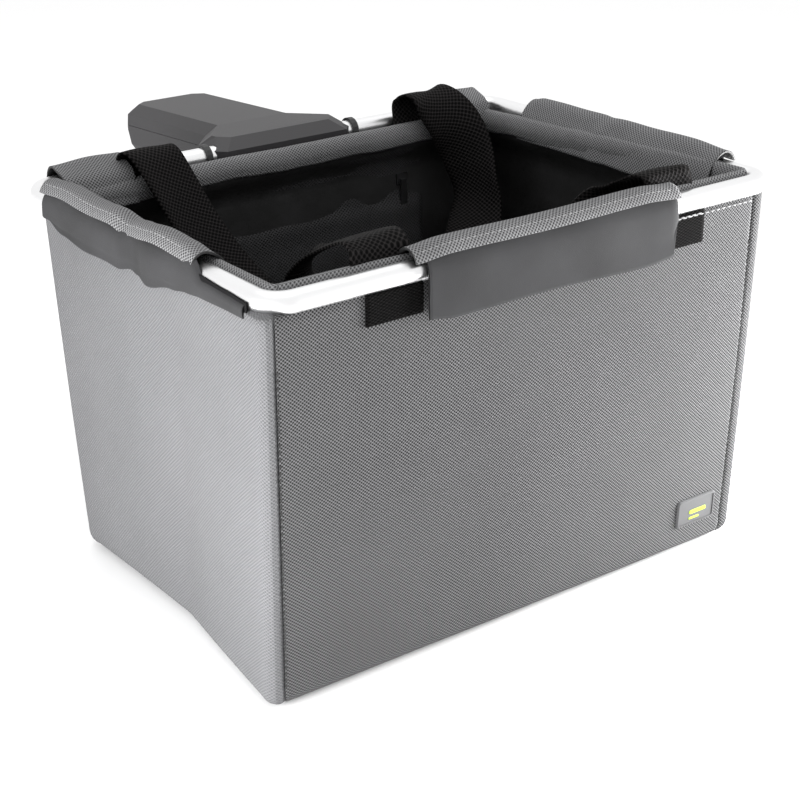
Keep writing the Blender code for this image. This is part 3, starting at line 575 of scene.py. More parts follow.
# %% Outer panels
def wall_rows(steps=46):
    """Heights and insets from the foot to the top edge: zf, zr, inset_f, inset_r."""
    rows = []
    for turn in np.linspace(0, 90, 8):
        t = math.radians(turn)
        z = 0.0012 + (FOOT_R - 0.0012) * (1 - math.cos(t))
        rows.append((z, z, FOOT_R * (1 - math.sin(t)), FOOT_R * (1 - math.sin(t))))
    rows += [(z, z, 0.0, 0.0) for z in np.linspace(FOOT_R, 0.2350, steps)[1:]]
    for s in np.linspace(0, 1, 11)[1:]:
        ease = s * s * (3 - 2 * s)
        rows.append((0.2350 + 0.0025 * s, 0.2350 + 0.0015 * s,
                     0.0114 * ease, 0.0166 * ease))
    for s in np.linspace(0, 1, 4)[1:]:
        rows.append((0.2375 + 0.0075 * s, 0.2365 + 0.0025 * s, 0.0114, 0.0166))
    return rows


def cut_columns(grid, first, last):
    """The part of a ring between two columns, going round if needed."""
    n = len(COLUMNS)
    idx = [(first + k) % n for k in range((last - first) % n + 1)]
    return [[row[j] for j in idx] for row in grid]


def column_at(kind, i, share):
    """Number of the column nearest to a place on the ring."""
    picks = [(abs(s - share), k) for k, (a, b, s) in enumerate(COLUMNS) if (a, b) == (kind, i)]
    return min(picks)[1]


SEAM_A = column_at("side", 0, 0.0)
SEAM_B = column_at("side", 0, 1.0)
SEAM_C = column_at("side", 2, 0.0)
SEAM_D = column_at("side", 2, 1.0)


def tuck_edges(grid, dips):
    """Sink the columns next to a panel's two side edges, in metres, from the edge inwards."""
    pts = np.array(grid)
    for side in (0, -1):
        for k, dip in enumerate(dips):
            col = k if side == 0 else -1 - k
            p = pts[:, col, :2]
            away = p / np.linalg.norm(p, axis=1)[:, None]
            pts[:, col, :2] = p - away * dip
    return pts


def outer_panel(side, first, last, mat, dips, shift):
    """One side's outer cloth, cut from the ring between two seams."""
    piece = cloth(side + "_wall", tuck_edges(cut_columns(skin, first, last), dips), mat, "basket",
                  0.0014, shift=shift)
    hold(piece, "fabric_grey", side + "_panel")
    return piece


rows = wall_rows()
skin = wall_grid(rows)
FLAT_DIPS, SIDE_DIPS = (0.0018, 0.0001), (0.0018, 0.0002, -0.0004, -0.0005, -0.0004)
front_panel = outer_panel("front", SEAM_A, SEAM_B, GREY_CLOTH, FLAT_DIPS, (0, 0))
outer_panel("right", SEAM_B, SEAM_C, GREY_CLOTH, SIDE_DIPS, (0.5, 0.001))
rear_panel = outer_panel("rear", SEAM_C, SEAM_D, GREY_CLOTH, FLAT_DIPS, (1.0, 0))
# The left panel takes the lit copy of the grey cloth: painted light.
outer_panel("left", SEAM_D, SEAM_A, LIT_SIDE_CLOTH, SIDE_DIPS, (1.5, 0.001))
for corner, piece in (("front_left", front_panel), ("front_right", front_panel),
                      ("rear_left", rear_panel), ("rear_right", rear_panel)):
    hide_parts("piping_" + corner)
print("outer panels:", len(skin), "rows")

# %% [markdown]
# ## The inside
#
# The lining is thin coated cloth that hangs a little inside the boards, so it wrinkles. It is one
# shell from the top edge to the floor. Its wrinkles are kept small, and they fade near the top
# where the lining is held by stitching.

# %% Lining and floor
def lining_grid():
    rows = [(z, z, 0.0058, 0.0058) for z in np.linspace(0.0070, 0.2100, 44)]
    rows += [(0.2170, 0.2150, 0.0075, 0.0085), (0.2230, 0.2210, 0.0110, 0.0145),
             (0.2290, 0.2260, 0.0138, 0.0190), (0.2360, 0.2330, 0.0138, 0.0192)]
    pts = np.array(wall_grid(rows, depth=0.0))
    for r, row in enumerate(pts):
        for c, p in enumerate(row):
            x, y, z = p
            calm = min(1, max(0, (0.215 - z) / 0.05)) * min(1, z / 0.02)
            if y > 0.10 and abs(x) < 0.125 and z > 0.07:
                calm *= 0.1
            wave = 0.0022 * ripple(x, y, z * 0.55, 21, 5) + 0.0011 * ripple(x, y, z, 52, 8)
            length = math.hypot(x, y)
            p[:2] *= 1 - (wave + 0.0012) * calm / length
    return pts


lining = cloth("lining_shell", lining_grid(), LINING, "basket", 0.0008, inward=-1.0)
hold(lining, "lining_black", "front_lining", "rear_lining", "left_lining", "right_lining")


def floor_cloth(name, z, inset, mat, flip, thick):
    """A floor sheet that meets the walls all the way round."""
    ring = np.array(wall_grid([(z, z, inset, inset)])[0])[:, :2]
    centre = ring.mean(axis=0)
    grid = []
    for s in np.linspace(0.02, 1, 20):
        row = []
        for x, y in ring:
            px, py = centre[0] + (x - centre[0]) * s, centre[1] + (y - centre[1]) * s
            row.append((px, py, z + 0.0005 * ripple(px, py, 0, 16, 3) * (1 - s)))
        grid.append(row)
    grid = [[row[-1 - k] for k in range(len(row))] for row in grid] if flip else grid
    return cloth(name, grid, mat, "basket", thick)


floor_in = floor_cloth("lining_floor", 0.0072, 0.0056, LINING, False, 0.0008)
hold(floor_in, "lining_black", "floor_lining")
floor_out = floor_cloth("bottom_cloth", 0.0019, FOOT_R - 0.0005, GREY_CLOTH, True, 0.0007)
hold(floor_out, "fabric_grey", "bottom_panel")
print("lining points:", len(lining.data.vertices))

# %% [markdown]
# ## Facing over the top edge
#
# A strip of the same grey cloth is rolled over the top edge and sewn down inside. Its lower edge
# is only stitched, so it waves a little. The strip bulges between its two rows of stitching.

# %% Facing band
def facing_grid():
    grid = []
    profile = [(0.0016, 0.0110, 0.0000), (0.0020, 0.0050, 0.0), (0.0023, 0.0010, 0.0),
               (0.0014, -0.0005, 0.0), (-0.0004, -0.0004, 0.0), (-0.0016, 0.0008, 0.2),
               (-0.0026, 0.0030, 0.5), (-0.0032, 0.0056, 0.9), (-0.0031, 0.0080, 1.0),
               (-0.0024, 0.0102, 1.0), (-0.0021, 0.0116, 1.0), (-0.0014, 0.0128, 1.0)]
    for out_by, below, wavy in profile:
        rows = [(0.2462 - below, 0.2402 - below, 0.0124, 0.0176)]
        row = wall_grid(rows, depth=-out_by, relief=0.0)[0]
        done = []
        for x, y, z in row:
            w = 0.0011 * ripple(x, y, 0, 24, 1.5) + 0.0005 * ripple(x, y, 0, 60, 4.5)
            length = math.hypot(x, y)
            push = 1 - 0.0012 * wavy * abs(ripple(x, y, 0, 30, 9)) / length
            done.append((x * push, y * push, z + w * (0.5 + wavy)))
        grid.append(done)
    return [row[::-1] for row in grid]


# The facing takes the lit copy of the grey cloth: painted light.
facing = cloth("facing_band", [row + row[:1] for row in facing_grid()], LIT_FACING_CLOTH, "basket",
               0.0009)
hold(facing, "fabric_grey", "front_facing", "rear_facing", "left_facing", "right_facing")
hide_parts("front_board", "rear_board", "base_board")
print("facing made")

# %% [markdown]
# ## The rim tube
#
# The rim is one length of aluminium tube, bent at four corners and joined under the rear sleeve.
# It is swept here as a fine round section, so that the bends catch the light as a clean line.

# %% Rim
def rim_path():
    """The rim's centre line, closed, starting in the middle of the rear."""
    pts = []
    for k, (sx, sy) in enumerate(((-1, 1), (-1, -1), (1, -1), (1, 1))):
        cx, cy = sx * (RIM_X - RIM_BEND), sy * (RIM_Y - RIM_BEND)
        start = 90 + 90 * k
        for a in np.linspace(start, start + 90, 16):
            pts.append(Vector((cx + RIM_BEND * math.cos(math.radians(a)),
                               cy + RIM_BEND * math.sin(math.radians(a)), RIM_Z)))
    return pts


def closed_tube(name, path, radius, mat, sides=32):
    """A round tube whose centre line is a closed path of points."""
    n = len(path)
    bm = bmesh.new()
    rings, side = [], None
    for i, p in enumerate(path):
        t = (path[(i + 1) % n] - path[i - 1]).normalized()
        side = side or t.cross(Vector((0, 0, 1)))
        side = (side - t * side.dot(t)).normalized()
        lift = t.cross(side)
        rings.append([bm.verts.new(p + side * (radius * math.cos(2 * math.pi * k / sides))
                                   + lift * (radius * math.sin(2 * math.pi * k / sides)))
                      for k in range(sides)])
    for i in range(n):
        r0, r1 = rings[i], rings[(i + 1) % n]
        for k in range(sides):
            bm.faces.new((r0[k], r0[(k + 1) % sides], r1[(k + 1) % sides], r1[k])).smooth = True
    return from_bmesh(name, bm, mat)


rim = closed_tube("rim_tube", rim_path(), TUBE_R, ALUMINIUM)
hold(rim, "aluminium", "rim_frame")
print("rim points:", len(rim.data.vertices))

# %% [markdown]
# ## Sleeves and tails
#
# On each side a sleeve of cloth rises from inside the box, goes over the tube and comes down
# outside as a loose tail, which closes with hook tape. The sleeve stays with the box and the tail
# turns with its flap, so they are two pieces that meet at a seam on top of the tube. Each is
# drawn as a section across the tube, which is then carried along it with small waves.

# %% Sleeve and tail maker
SIDES = {"front": ((1, 0), (0, -1), -RIM_Y), "left": ((0, 1), (-1, 0), -RIM_X),
         "right": ((0, 1), (1, 0), RIM_X), "rear": ((1, 0), (0, 1), RIM_Y)}


def on_side(side, along, out, z):
    """A point from a distance along a side, a distance outside the tube centre, and height."""
    (ax, ay), (ox, oy), _ = SIDES[side]
    base_x = ox * RIM_X if ox else 0.0
    base_y = oy * RIM_Y if oy else 0.0
    return (base_x + ax * along + ox * out, base_y + ay * along + oy * out, z)


def wrap(name, side, body, stations, mat, thick, cols=60, rows=30, seed=1.0, wave=0.0007,
         handed=1, back=None):
    """Cloth carried along a side. stations are (along, section keys of out and height)."""
    places = [s[0] for s in stations]
    sections = [blend_keys([(o, z) for o, z in s[1]], rows) for s in stations]
    grid = []
    for along in np.linspace(places[0], places[-1], cols):
        i = max(0, min(int(np.searchsorted(places, along, side="right")) - 1, len(places) - 2))
        t = (along - places[i]) / (places[i + 1] - places[i])
        t = t * t * (3 - 2 * t)
        sec = sections[i] * (1 - t) + sections[i + 1] * t
        row = []
        for k, (o, z) in enumerate(sec):
            w = wave * ripple(along, o, z, 38, seed)
            row.append(on_side(side, along, o + w, z + 0.4 * w))
        grid.append(row)
    grid = [list(r) for r in zip(*grid)]
    if handed < 0:
        grid = [row[::-1] for row in grid]
    return cloth(name, grid, back or mat, body, thick, back=mat if back else None)


def sleeve_section(inner, foot, crown=0.2532, reach=0.0068, drop=0.0062):
    """Section of a sleeve: up inside the tube, over it and a little way down outside."""
    return [(-inner - 0.0008, foot), (-inner + 0.0004, foot + 0.006),
            (-inner + 0.0026, RIM_Z + 0.001), (-inner + 0.0062, RIM_Z + 0.0065),
            (-0.0050, crown - 0.0012), (-0.0010, crown), (0.0030, crown - 0.0010),
            (reach - 0.0012, crown - 0.6 * drop), (reach, crown - drop)]


def tail_section(start, crown, out, foot, kick=0.0):
    """Section of a tail: from the seam on top, over the shoulder and down outside."""
    return [(start, crown - 0.0022), (0.0050, crown - 0.0046), (out - 0.0006, RIM_Z + 0.0022),
            (out + 0.0002, RIM_Z - 0.0060), (out, (RIM_Z + foot) / 2 - 0.003),
            (out - 0.0002 + kick, foot)]


def make_sleeve(tag, stations, cols, seed, wave, handed=1):
    """A sleeve from stations of (along, inner, foot, crown). It bends on top of the tube."""
    side = tag.split("_")[0]
    # The sleeves take the lit copy of the grey cloth: painted light.
    piece = wrap(tag + "_sleeve_cloth", side, None,
                 [(s[0], sleeve_section(*s[1:])) for s in stations], LIT_SLEEVE_CLOTH, 0.0014,
                 cols=cols, seed=seed, wave=wave, handed=handed, back=LINING)
    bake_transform(piece)
    hold(piece, "fabric_grey", tag + "_sleeve")
    return piece


def make_tail(tag, stations, cols, seed, wave, handed=1):
    """A tail from stations of (along, crown, out, foot, kick) or of (along, section keys)."""
    keys = [(s[0], s[1] if len(s) == 2 else tail_section(0.0020, *s[1:])) for s in stations]
    piece = wrap(tag + "_tail_cloth", tag.split("_")[0], tag + "_flap", keys, TAIL_CLOTH, 0.0013,
                 cols=cols, seed=seed, wave=wave, handed=handed, back=HOOK_TAPE)
    hold(piece, "fabric_smooth", tag + "_flap")


print("sleeve and tail makers ready")

# %% [markdown]
# ## Front flap
#
# The front flap is the widest. Its sleeve lies flat over the tube in grey honeycomb cloth and
# its tail is smooth brushed cloth with a curved lower edge. Both ends of the tail run a little
# past the sleeve, and the tail stands off the wall over the hook tape.

# %% Front sleeve and tail
front_sleeve = make_sleeve("front", [
    (-0.0930, 0.0155, 0.2270, 0.2518), (-0.0700, 0.0155, 0.2270, 0.2535),
    (0.0000, 0.0155, 0.2270, 0.2528), (0.0700, 0.0155, 0.2270, 0.2537),
    (0.0975, 0.0155, 0.2270, 0.2520)], cols=80, seed=3, wave=0.0007)
make_tail("front", [
    (-0.0865, 0.2525, 0.0086, 0.2150, 0.0004), (-0.0700, 0.2531, 0.0090, 0.2128, 0.0002),
    (0.0000, 0.2528, 0.0088, 0.2130, 0.0), (0.0700, 0.2532, 0.0092, 0.2112, 0.0006),
    (0.0895, 0.2520, 0.0090, 0.2128, 0.0010), (0.0940, 0.2515, 0.0080, 0.2330, 0.0004)],
    cols=90, seed=7, wave=0.0006)
print("front flap made")

# %% [markdown]
# ## Left flap
#
# The left flap is pulled by its tail: the sleeve is pinched near its middle and the tail has a
# dark fold there. A black underlayer shows at the sleeve's front end and along the narrow tip of
# the tail, which runs on towards the front corner.

# %% Left sleeve and tail
left_sleeve = make_sleeve("left", [
    (-0.0690, 0.0160, 0.2280, 0.2508), (-0.0560, 0.0155, 0.2280, 0.2530),
    (-0.0300, 0.0155, 0.2280, 0.2540), (-0.0080, 0.0155, 0.2280, 0.2522),
    (0.0060, 0.0160, 0.2285, 0.2508), (0.0200, 0.0158, 0.2280, 0.2532),
    (0.0450, 0.0155, 0.2280, 0.2522), (0.0800, 0.0155, 0.2280, 0.2535),
    (0.1060, 0.0155, 0.2280, 0.2518)], cols=110, seed=13, wave=0.0013, handed=-1)
make_tail("left", [
    (-0.1200, [(0.0060, 0.2385), (0.0074, 0.2378), (0.0080, 0.2368), (0.0080, 0.2350),
               (0.0078, 0.2335), (0.0076, 0.2322)]),
    (-0.1040, [(0.0058, 0.2392), (0.0074, 0.2386), (0.0082, 0.2374), (0.0082, 0.2358),
               (0.0082, 0.2340), (0.0080, 0.2326)]),
    (-0.0800, [(0.0056, 0.2402), (0.0074, 0.2394), (0.0084, 0.2380), (0.0086, 0.2360),
               (0.0086, 0.2342), (0.0084, 0.2322)]),
    (-0.0660, [(0.0035, 0.2492), (0.0068, 0.2466), (0.0084, 0.2430), (0.0090, 0.2390),
               (0.0090, 0.2345), (0.0088, 0.2312)]),
    (-0.0500, 0.2524, 0.0092, 0.2290, 0.0002), (-0.0260, 0.2526, 0.0096, 0.2240, 0.0002),
    (-0.0120, 0.2516, 0.0076, 0.2262, 0.0002), (-0.0040, 0.2508, 0.0072, 0.2272, 0.0002),
    (0.0080, 0.2508, 0.0094, 0.2252, 0.0002), (0.0250, 0.2522, 0.0096, 0.2258, 0.0004),
    (0.0450, 0.2520, 0.0094, 0.2252, 0.0008), (0.0740, 0.2524, 0.0096, 0.2280, 0.0010),
    (0.1000, 0.2518, 0.0090, 0.2340, 0.0006)], cols=150, seed=17, wave=0.0008, handed=-1)
print("left flap made")

# %% Backing of the tail's tip
backing = wrap("left_tail_backing", "left", "left_flap", [
    (-0.1215, [(0.0068, 0.2405), (0.0070, 0.2385), (0.0070, 0.2365), (0.0070, 0.2335)]),
    (-0.1000, [(0.0062, 0.2415), (0.0068, 0.2400), (0.0070, 0.2380), (0.0070, 0.2335)]),
    (-0.0720, [(0.0060, 0.2430), (0.0068, 0.2410), (0.0070, 0.2390), (0.0070, 0.2335)]),
    (-0.0600, [(0.0050, 0.2470), (0.0066, 0.2440), (0.0070, 0.2400), (0.0070, 0.2340)])],
    HOOK_TAPE, 0.0008, cols=60, rows=10, seed=19, wave=0.0003, handed=-1)
hold(backing, "webbing_black")
print("backing made")

# %% [markdown]
# ## Right flap and the two short rear flaps
#
# The right flap is seen from inside: its inner leg hangs a little lower and its top is pinched.
# The rear has two short sleeves beside the corners, because the adapter takes up the middle.

# %% Right and rear sleeves and tails
right_sleeve = make_sleeve("right", [
    (-0.1000, 0.0155, 0.2270, 0.2510), (-0.0700, 0.0155, 0.2268, 0.2530),
    (-0.0300, 0.0160, 0.2262, 0.2526), (-0.0080, 0.0152, 0.2268, 0.2531),
    (0.0040, 0.0166, 0.2268, 0.2524), (0.0120, 0.0152, 0.2268, 0.2530),
    (0.0420, 0.0156, 0.2272, 0.2532), (0.0700, 0.0156, 0.2270, 0.2530),
    (0.0790, 0.0155, 0.2270, 0.2512)], cols=110, seed=23, wave=0.0006)
make_tail("right", [
    (-0.0900, 0.2516, 0.0088, 0.2150), (-0.0300, 0.2520, 0.0092, 0.2120),
    (0.0200, 0.2518, 0.0088, 0.2130), (0.0740, 0.2514, 0.0090, 0.2150)],
    cols=90, seed=29, wave=0.0009)
for tag, lo, hi in (("rear_left", -0.1640, -0.1180), ("rear_right", 0.1240, 0.1640)):
    mid = (lo + hi) / 2
    make_sleeve(tag, [
        (lo, 0.0214, 0.2275, 0.2512), (mid, 0.0216, 0.2265, 0.2530),
        (hi, 0.0214, 0.2260, 0.2520)], cols=50, seed=31, wave=0.0009, handed=-1)
    make_tail(tag, [
        (lo, 0.2514, 0.0088, 0.2150), (mid, 0.2520, 0.0092, 0.2135),
        (hi, 0.2514, 0.0088, 0.2150)], cols=30, seed=37, wave=0.0005, handed=-1)
print("right and rear flaps made")

# %% [markdown]
# ## Places on the wall
#
# Patches, hook tape and stitches are all sewn to the outer wall. This tool gives a point of the
# wall at a height and a distance along a side, standing off by as much as the piece is thick.

# %% Wall places
def wall_line(side, z, out, alongs):
    """Points of the wall's side at a height, standing out by out."""
    i = {"front": 0, "right": 1, "rear": 2, "left": 3}[side]
    inset_f = float(np.interp(z, [r[0] for r in rows], [r[2] for r in rows]))
    inset_r = float(np.interp(z, [r[1] for r in rows], [r[3] for r in rows]))
    row = wall_grid([(z, z, inset_f, inset_r)], depth=-out)[0]
    pts = np.array([p for p, c in zip(row, COLUMNS) if c[0] == "side" and c[1] == i])
    axis = 0 if side in ("front", "rear") else 1
    pts = pts[np.argsort(pts[:, axis])]
    return [tuple(a if k == axis else float(np.interp(a, pts[:, axis], pts[:, k]))
                  for k in range(3)) for a in alongs]


def patch(name, side, lo, hi, heights, out, mat, thick, cols):
    """A piece of cloth lying on the wall."""
    alongs = np.linspace(lo, hi, cols)
    grid = [wall_line(side, z, out, alongs) for z in heights]
    if side in ("rear", "left"):
        grid = [row[::-1] for row in grid]
    return cloth(name, grid, mat, "basket", thick)


print("a place on the front wall:", [round(v, 4) for v in wall_line("front", 0.1, 0, [0.0])[0]])

# %% [markdown]
# ## Hook tape and strap patches
#
# Each closing tail has a strip of hook tape under it on the wall. The carrying loops are sewn to
# the outside of the front and rear walls as square patches of webbing. From there they go up
# between wall and tube.

# %% Hook tape and patches
for side in ("front", "left", "right"):
    low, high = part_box("hook_pad_" + side)
    axis = 0 if side == "front" else 1
    pad = patch("hook_tape_" + side, side, low[axis], high[axis],
                np.linspace(0.2215 if side == "front" else 0.2290, 0.2335, 8), 0.0009, HOOK_TAPE,
                0.0009, cols=40)
    hold(pad, "webbing_black", "hook_pad_" + side)

# The patches take the darker copy of the webbing: painted shade.
for side, end, lo, hi, foot in (
        ("front", "left", -0.124, -0.087, 0.2180), ("front", "right", 0.084, 0.121, 0.2145),
        ("rear", "left", -0.124, -0.086, 0.2120), ("rear", "right", 0.086, 0.124, 0.2120)):
    heights = list(np.linspace(foot, 0.2372, 16)) + [0.2440]
    if side == "rear":
        heights = [min(h, 0.2380) for h in heights[:-1]] + [0.2385]
    piece = patch("%s_strap_patch_%s" % (side, end), side, lo, hi, heights, 0.0013, SHADED_PATCH_WEB,
                  0.0012, cols=16)
    hold(piece, "webbing_black", "%s_handle_end_%s" % (side, end))
print("patches made")

# %% [markdown]
# ## Carrying loops
#
# A loop of wide webbing hangs at the front and another at the rear. Webbing is stiff, so it
# springs up in an arch where it leaves the wall and then falls into the basket with a slow twist.
# The loop is drawn as a centre line with a direction of width at each point.

# %% Webbing loops
def webbing(name, keys, width=0.037, count=130, across=9, thick=0.0014):
    """A ribbon from keys of (centre, width direction)."""
    mid = blend_keys([k[0] for k in keys], count)
    wide = blend_keys([k[1] for k in keys], count)
    grid = []
    for i in range(count):
        t = mid[min(i + 1, count - 1)] - mid[max(i - 1, 0)]
        t /= np.linalg.norm(t)
        w = wide[i] - t * np.dot(wide[i], t)
        w /= np.linalg.norm(w)
        n = np.cross(t, w)
        row = []
        for s in np.linspace(-0.5, 0.5, across):
            cup = 0.0016 * (1 - 4 * s * s) * math.sin(i * 0.11)
            row.append(tuple(mid[i] + w * s * width + n * cup))
        grid.append(row)
    ob = cloth(name, grid, WEBBING, None, 0)
    mod = ob.modifiers.new("thickness", "SOLIDIFY")
    mod.thickness, mod.offset = thick, 0.0
    return ob


X, Y = (1, 0, 0), (0, 1, 0)
front_loop = webbing("front_loop", [
    ((-0.1055, -0.1248, 0.2400), X), ((-0.1055, -0.1250, 0.2500), X),
    ((-0.1050, -0.1230, 0.2550), X), ((-0.1050, -0.1150, 0.2580), (1, 0.05, 0.02)),
    ((-0.1060, -0.0970, 0.2510), (1, 0.10, 0.05)), ((-0.1080, -0.0760, 0.2400), (1, 0.2, 0.1)),
    ((-0.1060, -0.0560, 0.2240), (0.9, 0.5, 0.1)), ((-0.0860, -0.0470, 0.2040), (0.5, 0.8, 0.1)),
    ((-0.0400, -0.0520, 0.1900), (0.1, 1.0, 0.1)), ((0.0200, -0.0640, 0.1900), (0.0, 1.0, 0.0)),
    ((0.0700, -0.0760, 0.2060), (-0.5, 0.8, 0.0)), ((0.0930, -0.0860, 0.2300), (-0.9, 0.45, 0.0)),
    ((0.1000, -0.0990, 0.2450), (-1, 0.2, 0.0)), ((0.1010, -0.1130, 0.2550), (-1, 0.05, 0)),
    ((0.1020, -0.1220, 0.2560), (-1, 0, 0)), ((0.1025, -0.1250, 0.2490), (-1, 0, 0)),
    ((0.1025, -0.1248, 0.2400), (-1, 0, 0))])
rear_loop = webbing("rear_loop", [
    ((-0.1060, 0.1190, 0.2330), X), ((-0.1060, 0.1220, 0.2430), X),
    ((-0.1060, 0.1245, 0.2510), X), ((-0.1055, 0.1200, 0.2556), (1, 0.10, -0.06)),
    ((-0.1025, 0.1120, 0.2515), (1, 0.18, -0.02)), ((-0.0970, 0.1020, 0.2350), (1, 0.3, 0.08)),
    ((-0.0890, 0.0890, 0.2100), (1, 0.35, 0.15)), ((-0.0780, 0.0700, 0.1820), (1, 0.35, 0.25)),
    ((-0.0620, 0.0500, 0.1580), (1, 0.35, 0.4)), ((-0.0250, 0.0380, 0.1400), (0.4, 0.8, 0.3)),
    ((0.0200, 0.0380, 0.1340), (0.0, 1.0, 0.1)), ((0.0640, 0.0460, 0.1400), (-0.1, 1.0, 0.1)),
    ((0.1040, 0.0640, 0.1620), (-0.1, 1.0, 0.4)), ((0.1270, 0.0820, 0.1880), (0.0, 0.9, 0.5)),
    ((0.1290, 0.0930, 0.2150), (-0.5, 0.8, 0.1)),
    ((0.1230, 0.1000, 0.2380), (-0.9, 0.4, 0.0)), ((0.1140, 0.1090, 0.2530), (-1, 0.2, 0.1)),
    ((0.1080, 0.1170, 0.2590), (-1, 0, 0.1)), ((0.1060, 0.1240, 0.2540), (-1, 0, 0)),
    ((0.1050, 0.1225, 0.2440), (-1, 0, 0)), ((0.1050, 0.1190, 0.2330), (-1, 0, 0))], count=150)
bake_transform(front_loop)
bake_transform(rear_loop)
for piece, node in ((front_loop, "front_handle"), (rear_loop, "rear_handle")):
    hold(piece, "webbing_black", node)
print("loops made")

# %% [markdown]
# ## Zip pocket
#
# The rear wall carries a pocket of black mesh cloth. A strip comes down from the facing to the
# zip, and the pocket's front starts below it. The zip's teeth are small blocks in two rows that
# mesh, on tapes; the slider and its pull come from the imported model.

# %% Pocket and zip
def rear_cloth(name, keys, x0, x1, mat, thick, cols=50, rows_in=24, seed=1.0, wave=0.0008):
    """Cloth inside the rear wall, from keys of y and z."""
    sec = blend_keys(keys, rows_in)
    grid = []
    for k, (y, z) in enumerate(sec):
        hold = math.sin(math.pi * k / (rows_in - 1))
        row = []
        for x in np.linspace(x0, x1, cols):
            w = wave * hold * (ripple(x, 0, z, 30, seed) - 0.4)
            row.append((x, y + w, z + 0.3 * w))
        grid.append(row)
    return cloth(name, [r[::-1] for r in grid], mat, "basket", thick)


low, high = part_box("zip_teeth_lower")
upper_low, upper_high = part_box("zip_teeth_upper")
ZIP_Z = (low.z + upper_high.z) / 2
ZIP_Y = (low.y + high.y) / 2
strip = rear_cloth("pocket_top", [(0.1166, 0.2300), (0.1164, 0.2256), (0.1196, 0.2210),
                                  (0.1248, 0.2160), (0.1272, 0.2110), (0.1282, 0.2060),
                                  (0.1280, 0.2036), (0.1290, 0.2032)],
                   -0.112, 0.112, MESH_CLOTH, 0.0007, seed=41, wave=0.0010)
hold(strip, "lining_black", "pocket_top_strip")
pocket = rear_cloth("pocket_front", [(0.1292, 0.1966), (0.1284, 0.1964), (0.1282, 0.1935),
                                     (0.1272, 0.1870), (0.1250, 0.1795), (0.1252, 0.1680),
                                     (0.1238, 0.1500), (0.1222, 0.1250), (0.1206, 0.1000),
                                     (0.1202, 0.0880), (0.1216, 0.0850)],
                    -0.112, 0.112, MESH_CLOTH, 0.0007, seed=47, wave=0.0030, rows_in=44)
hold(pocket, "lining_black", "pocket_panel")
tape = rear_cloth("zip_tape", [(ZIP_Y + 0.0012, ZIP_Z + 0.0060), (ZIP_Y + 0.0012, ZIP_Z),
                               (ZIP_Y + 0.0012, ZIP_Z - 0.0060)],
                  -0.110, 0.110, LINING, 0.0004, rows_in=8, wave=0)
hold(tape, "lining_black")


def blocks(name, places, size, mat):
    """Many small blocks with cut corners in one mesh. A place is a point."""
    bm = bmesh.new()
    hx, hy, hz = (s / 2 for s in size)
    cut = min(hx, hz) * 0.45
    outline = [(hx - cut, hz), (hx, hz - cut), (hx, -hz + cut), (hx - cut, -hz),
               (-hx + cut, -hz), (-hx, -hz + cut), (-hx, hz - cut), (-hx + cut, hz)]
    for px, py, pz in places:
        near = [bm.verts.new((px + x, py - hy, pz + z)) for x, z in outline]
        far = [bm.verts.new((px + x, py + hy, pz + z)) for x, z in outline]
        bm.faces.new(near)
        bm.faces.new(far[::-1])
        for k in range(8):
            bm.faces.new((near[k], far[k], far[(k + 1) % 8], near[(k + 1) % 8]))
    return from_bmesh(name, bm, mat)


for row, node, up in ((0, "zip_teeth_lower", -1), (1, "zip_teeth_upper", 1)):
    places = [(x + row * 0.0011, ZIP_Y, ZIP_Z + up * 0.0010)
              for x in np.arange(low.x + 0.001, high.x - 0.001, 0.0022)]
    teeth = blocks("zip_teeth_row_%d" % (row + 1), places, (0.0010, 0.0016, 0.0030), ZIP_METAL)
    hold(teeth, "zip_black", node)
print("zip teeth:", len(places) * 2)

# %% [markdown]
# ## Label
#
# A small rubber label is sewn low on the front wall. It is a thin plate with a raised border.
# Its field is left plain but for two short bars in lime, so that it keeps its spot of colour and
# says nothing.

# %% Label
low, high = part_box("label_patch")


def plate(name, cx, cz, wide, tall, radius, out, thick, mat, hole=None):
    """A rounded plate lying on the front wall, with a hole to make a border."""
    def corners(w, t, r):
        pts = []
        for sx, sz, start in ((1, 1, 0), (-1, 1, 90), (-1, -1, 180), (1, -1, 270)):
            for a in np.linspace(start, start + 90, 7):
                pts.append((cx + sx * (w / 2 - r) + r * math.cos(math.radians(a)),
                            cz + sz * (t / 2 - r) + r * math.sin(math.radians(a))))
        return pts
    bm = bmesh.new()

    def lay(x, z, off):
        return bm.verts.new(wall_line("front", z, out + off, [x])[0])
    outer = corners(wide, tall, radius)
    soft = corners(wide - 0.0006, tall - 0.0006, radius - 0.0003)
    loops = [[lay(x, z, 0) for x, z in outer], [lay(x, z, thick - 0.0003) for x, z in outer],
             [lay(x, z, thick) for x, z in soft]]
    if hole:
        inner = corners(wide - 2 * hole, tall - 2 * hole, max(radius - hole, 0.0004))
        loops += [[lay(x, z, thick) for x, z in inner], [lay(x, z, 0) for x, z in inner]]
    for a, b in zip(loops, loops[1:]):
        for k in range(len(a)):
            bm.faces.new((a[k], a[(k + 1) % len(a)], b[(k + 1) % len(a)], b[k]))
    if not hole:
        bm.faces.new(loops[-1])
    ob = from_bmesh(name, bm, mat)
    hold(ob, "rubber_grey")
    return ob


LX, LZ = (low.x + high.x) / 2 + 0.0028, (low.z + high.z) / 2
LW, LT = high.x - low.x, high.z - low.z
label = plate("label_base", LX, LZ, LW, LT, 0.0022, 0.0002, 0.0009, RUBBER)
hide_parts("label_patch")
plate("label_border", LX, LZ, LW - 0.001, LT - 0.001, 0.0020, 0.0011, 0.0006, RUBBER, hole=0.0010)
plate("label_bar_1", LX + 0.0015, LZ - 0.0004, 0.0150, 0.0028, 0.0013, 0.0011, 0.0005, LIME)
plate("label_bar_2", LX - 0.0015, LZ - 0.0048, 0.0090, 0.0016, 0.0007, 0.0011, 0.0005, LIME)
print("label made")

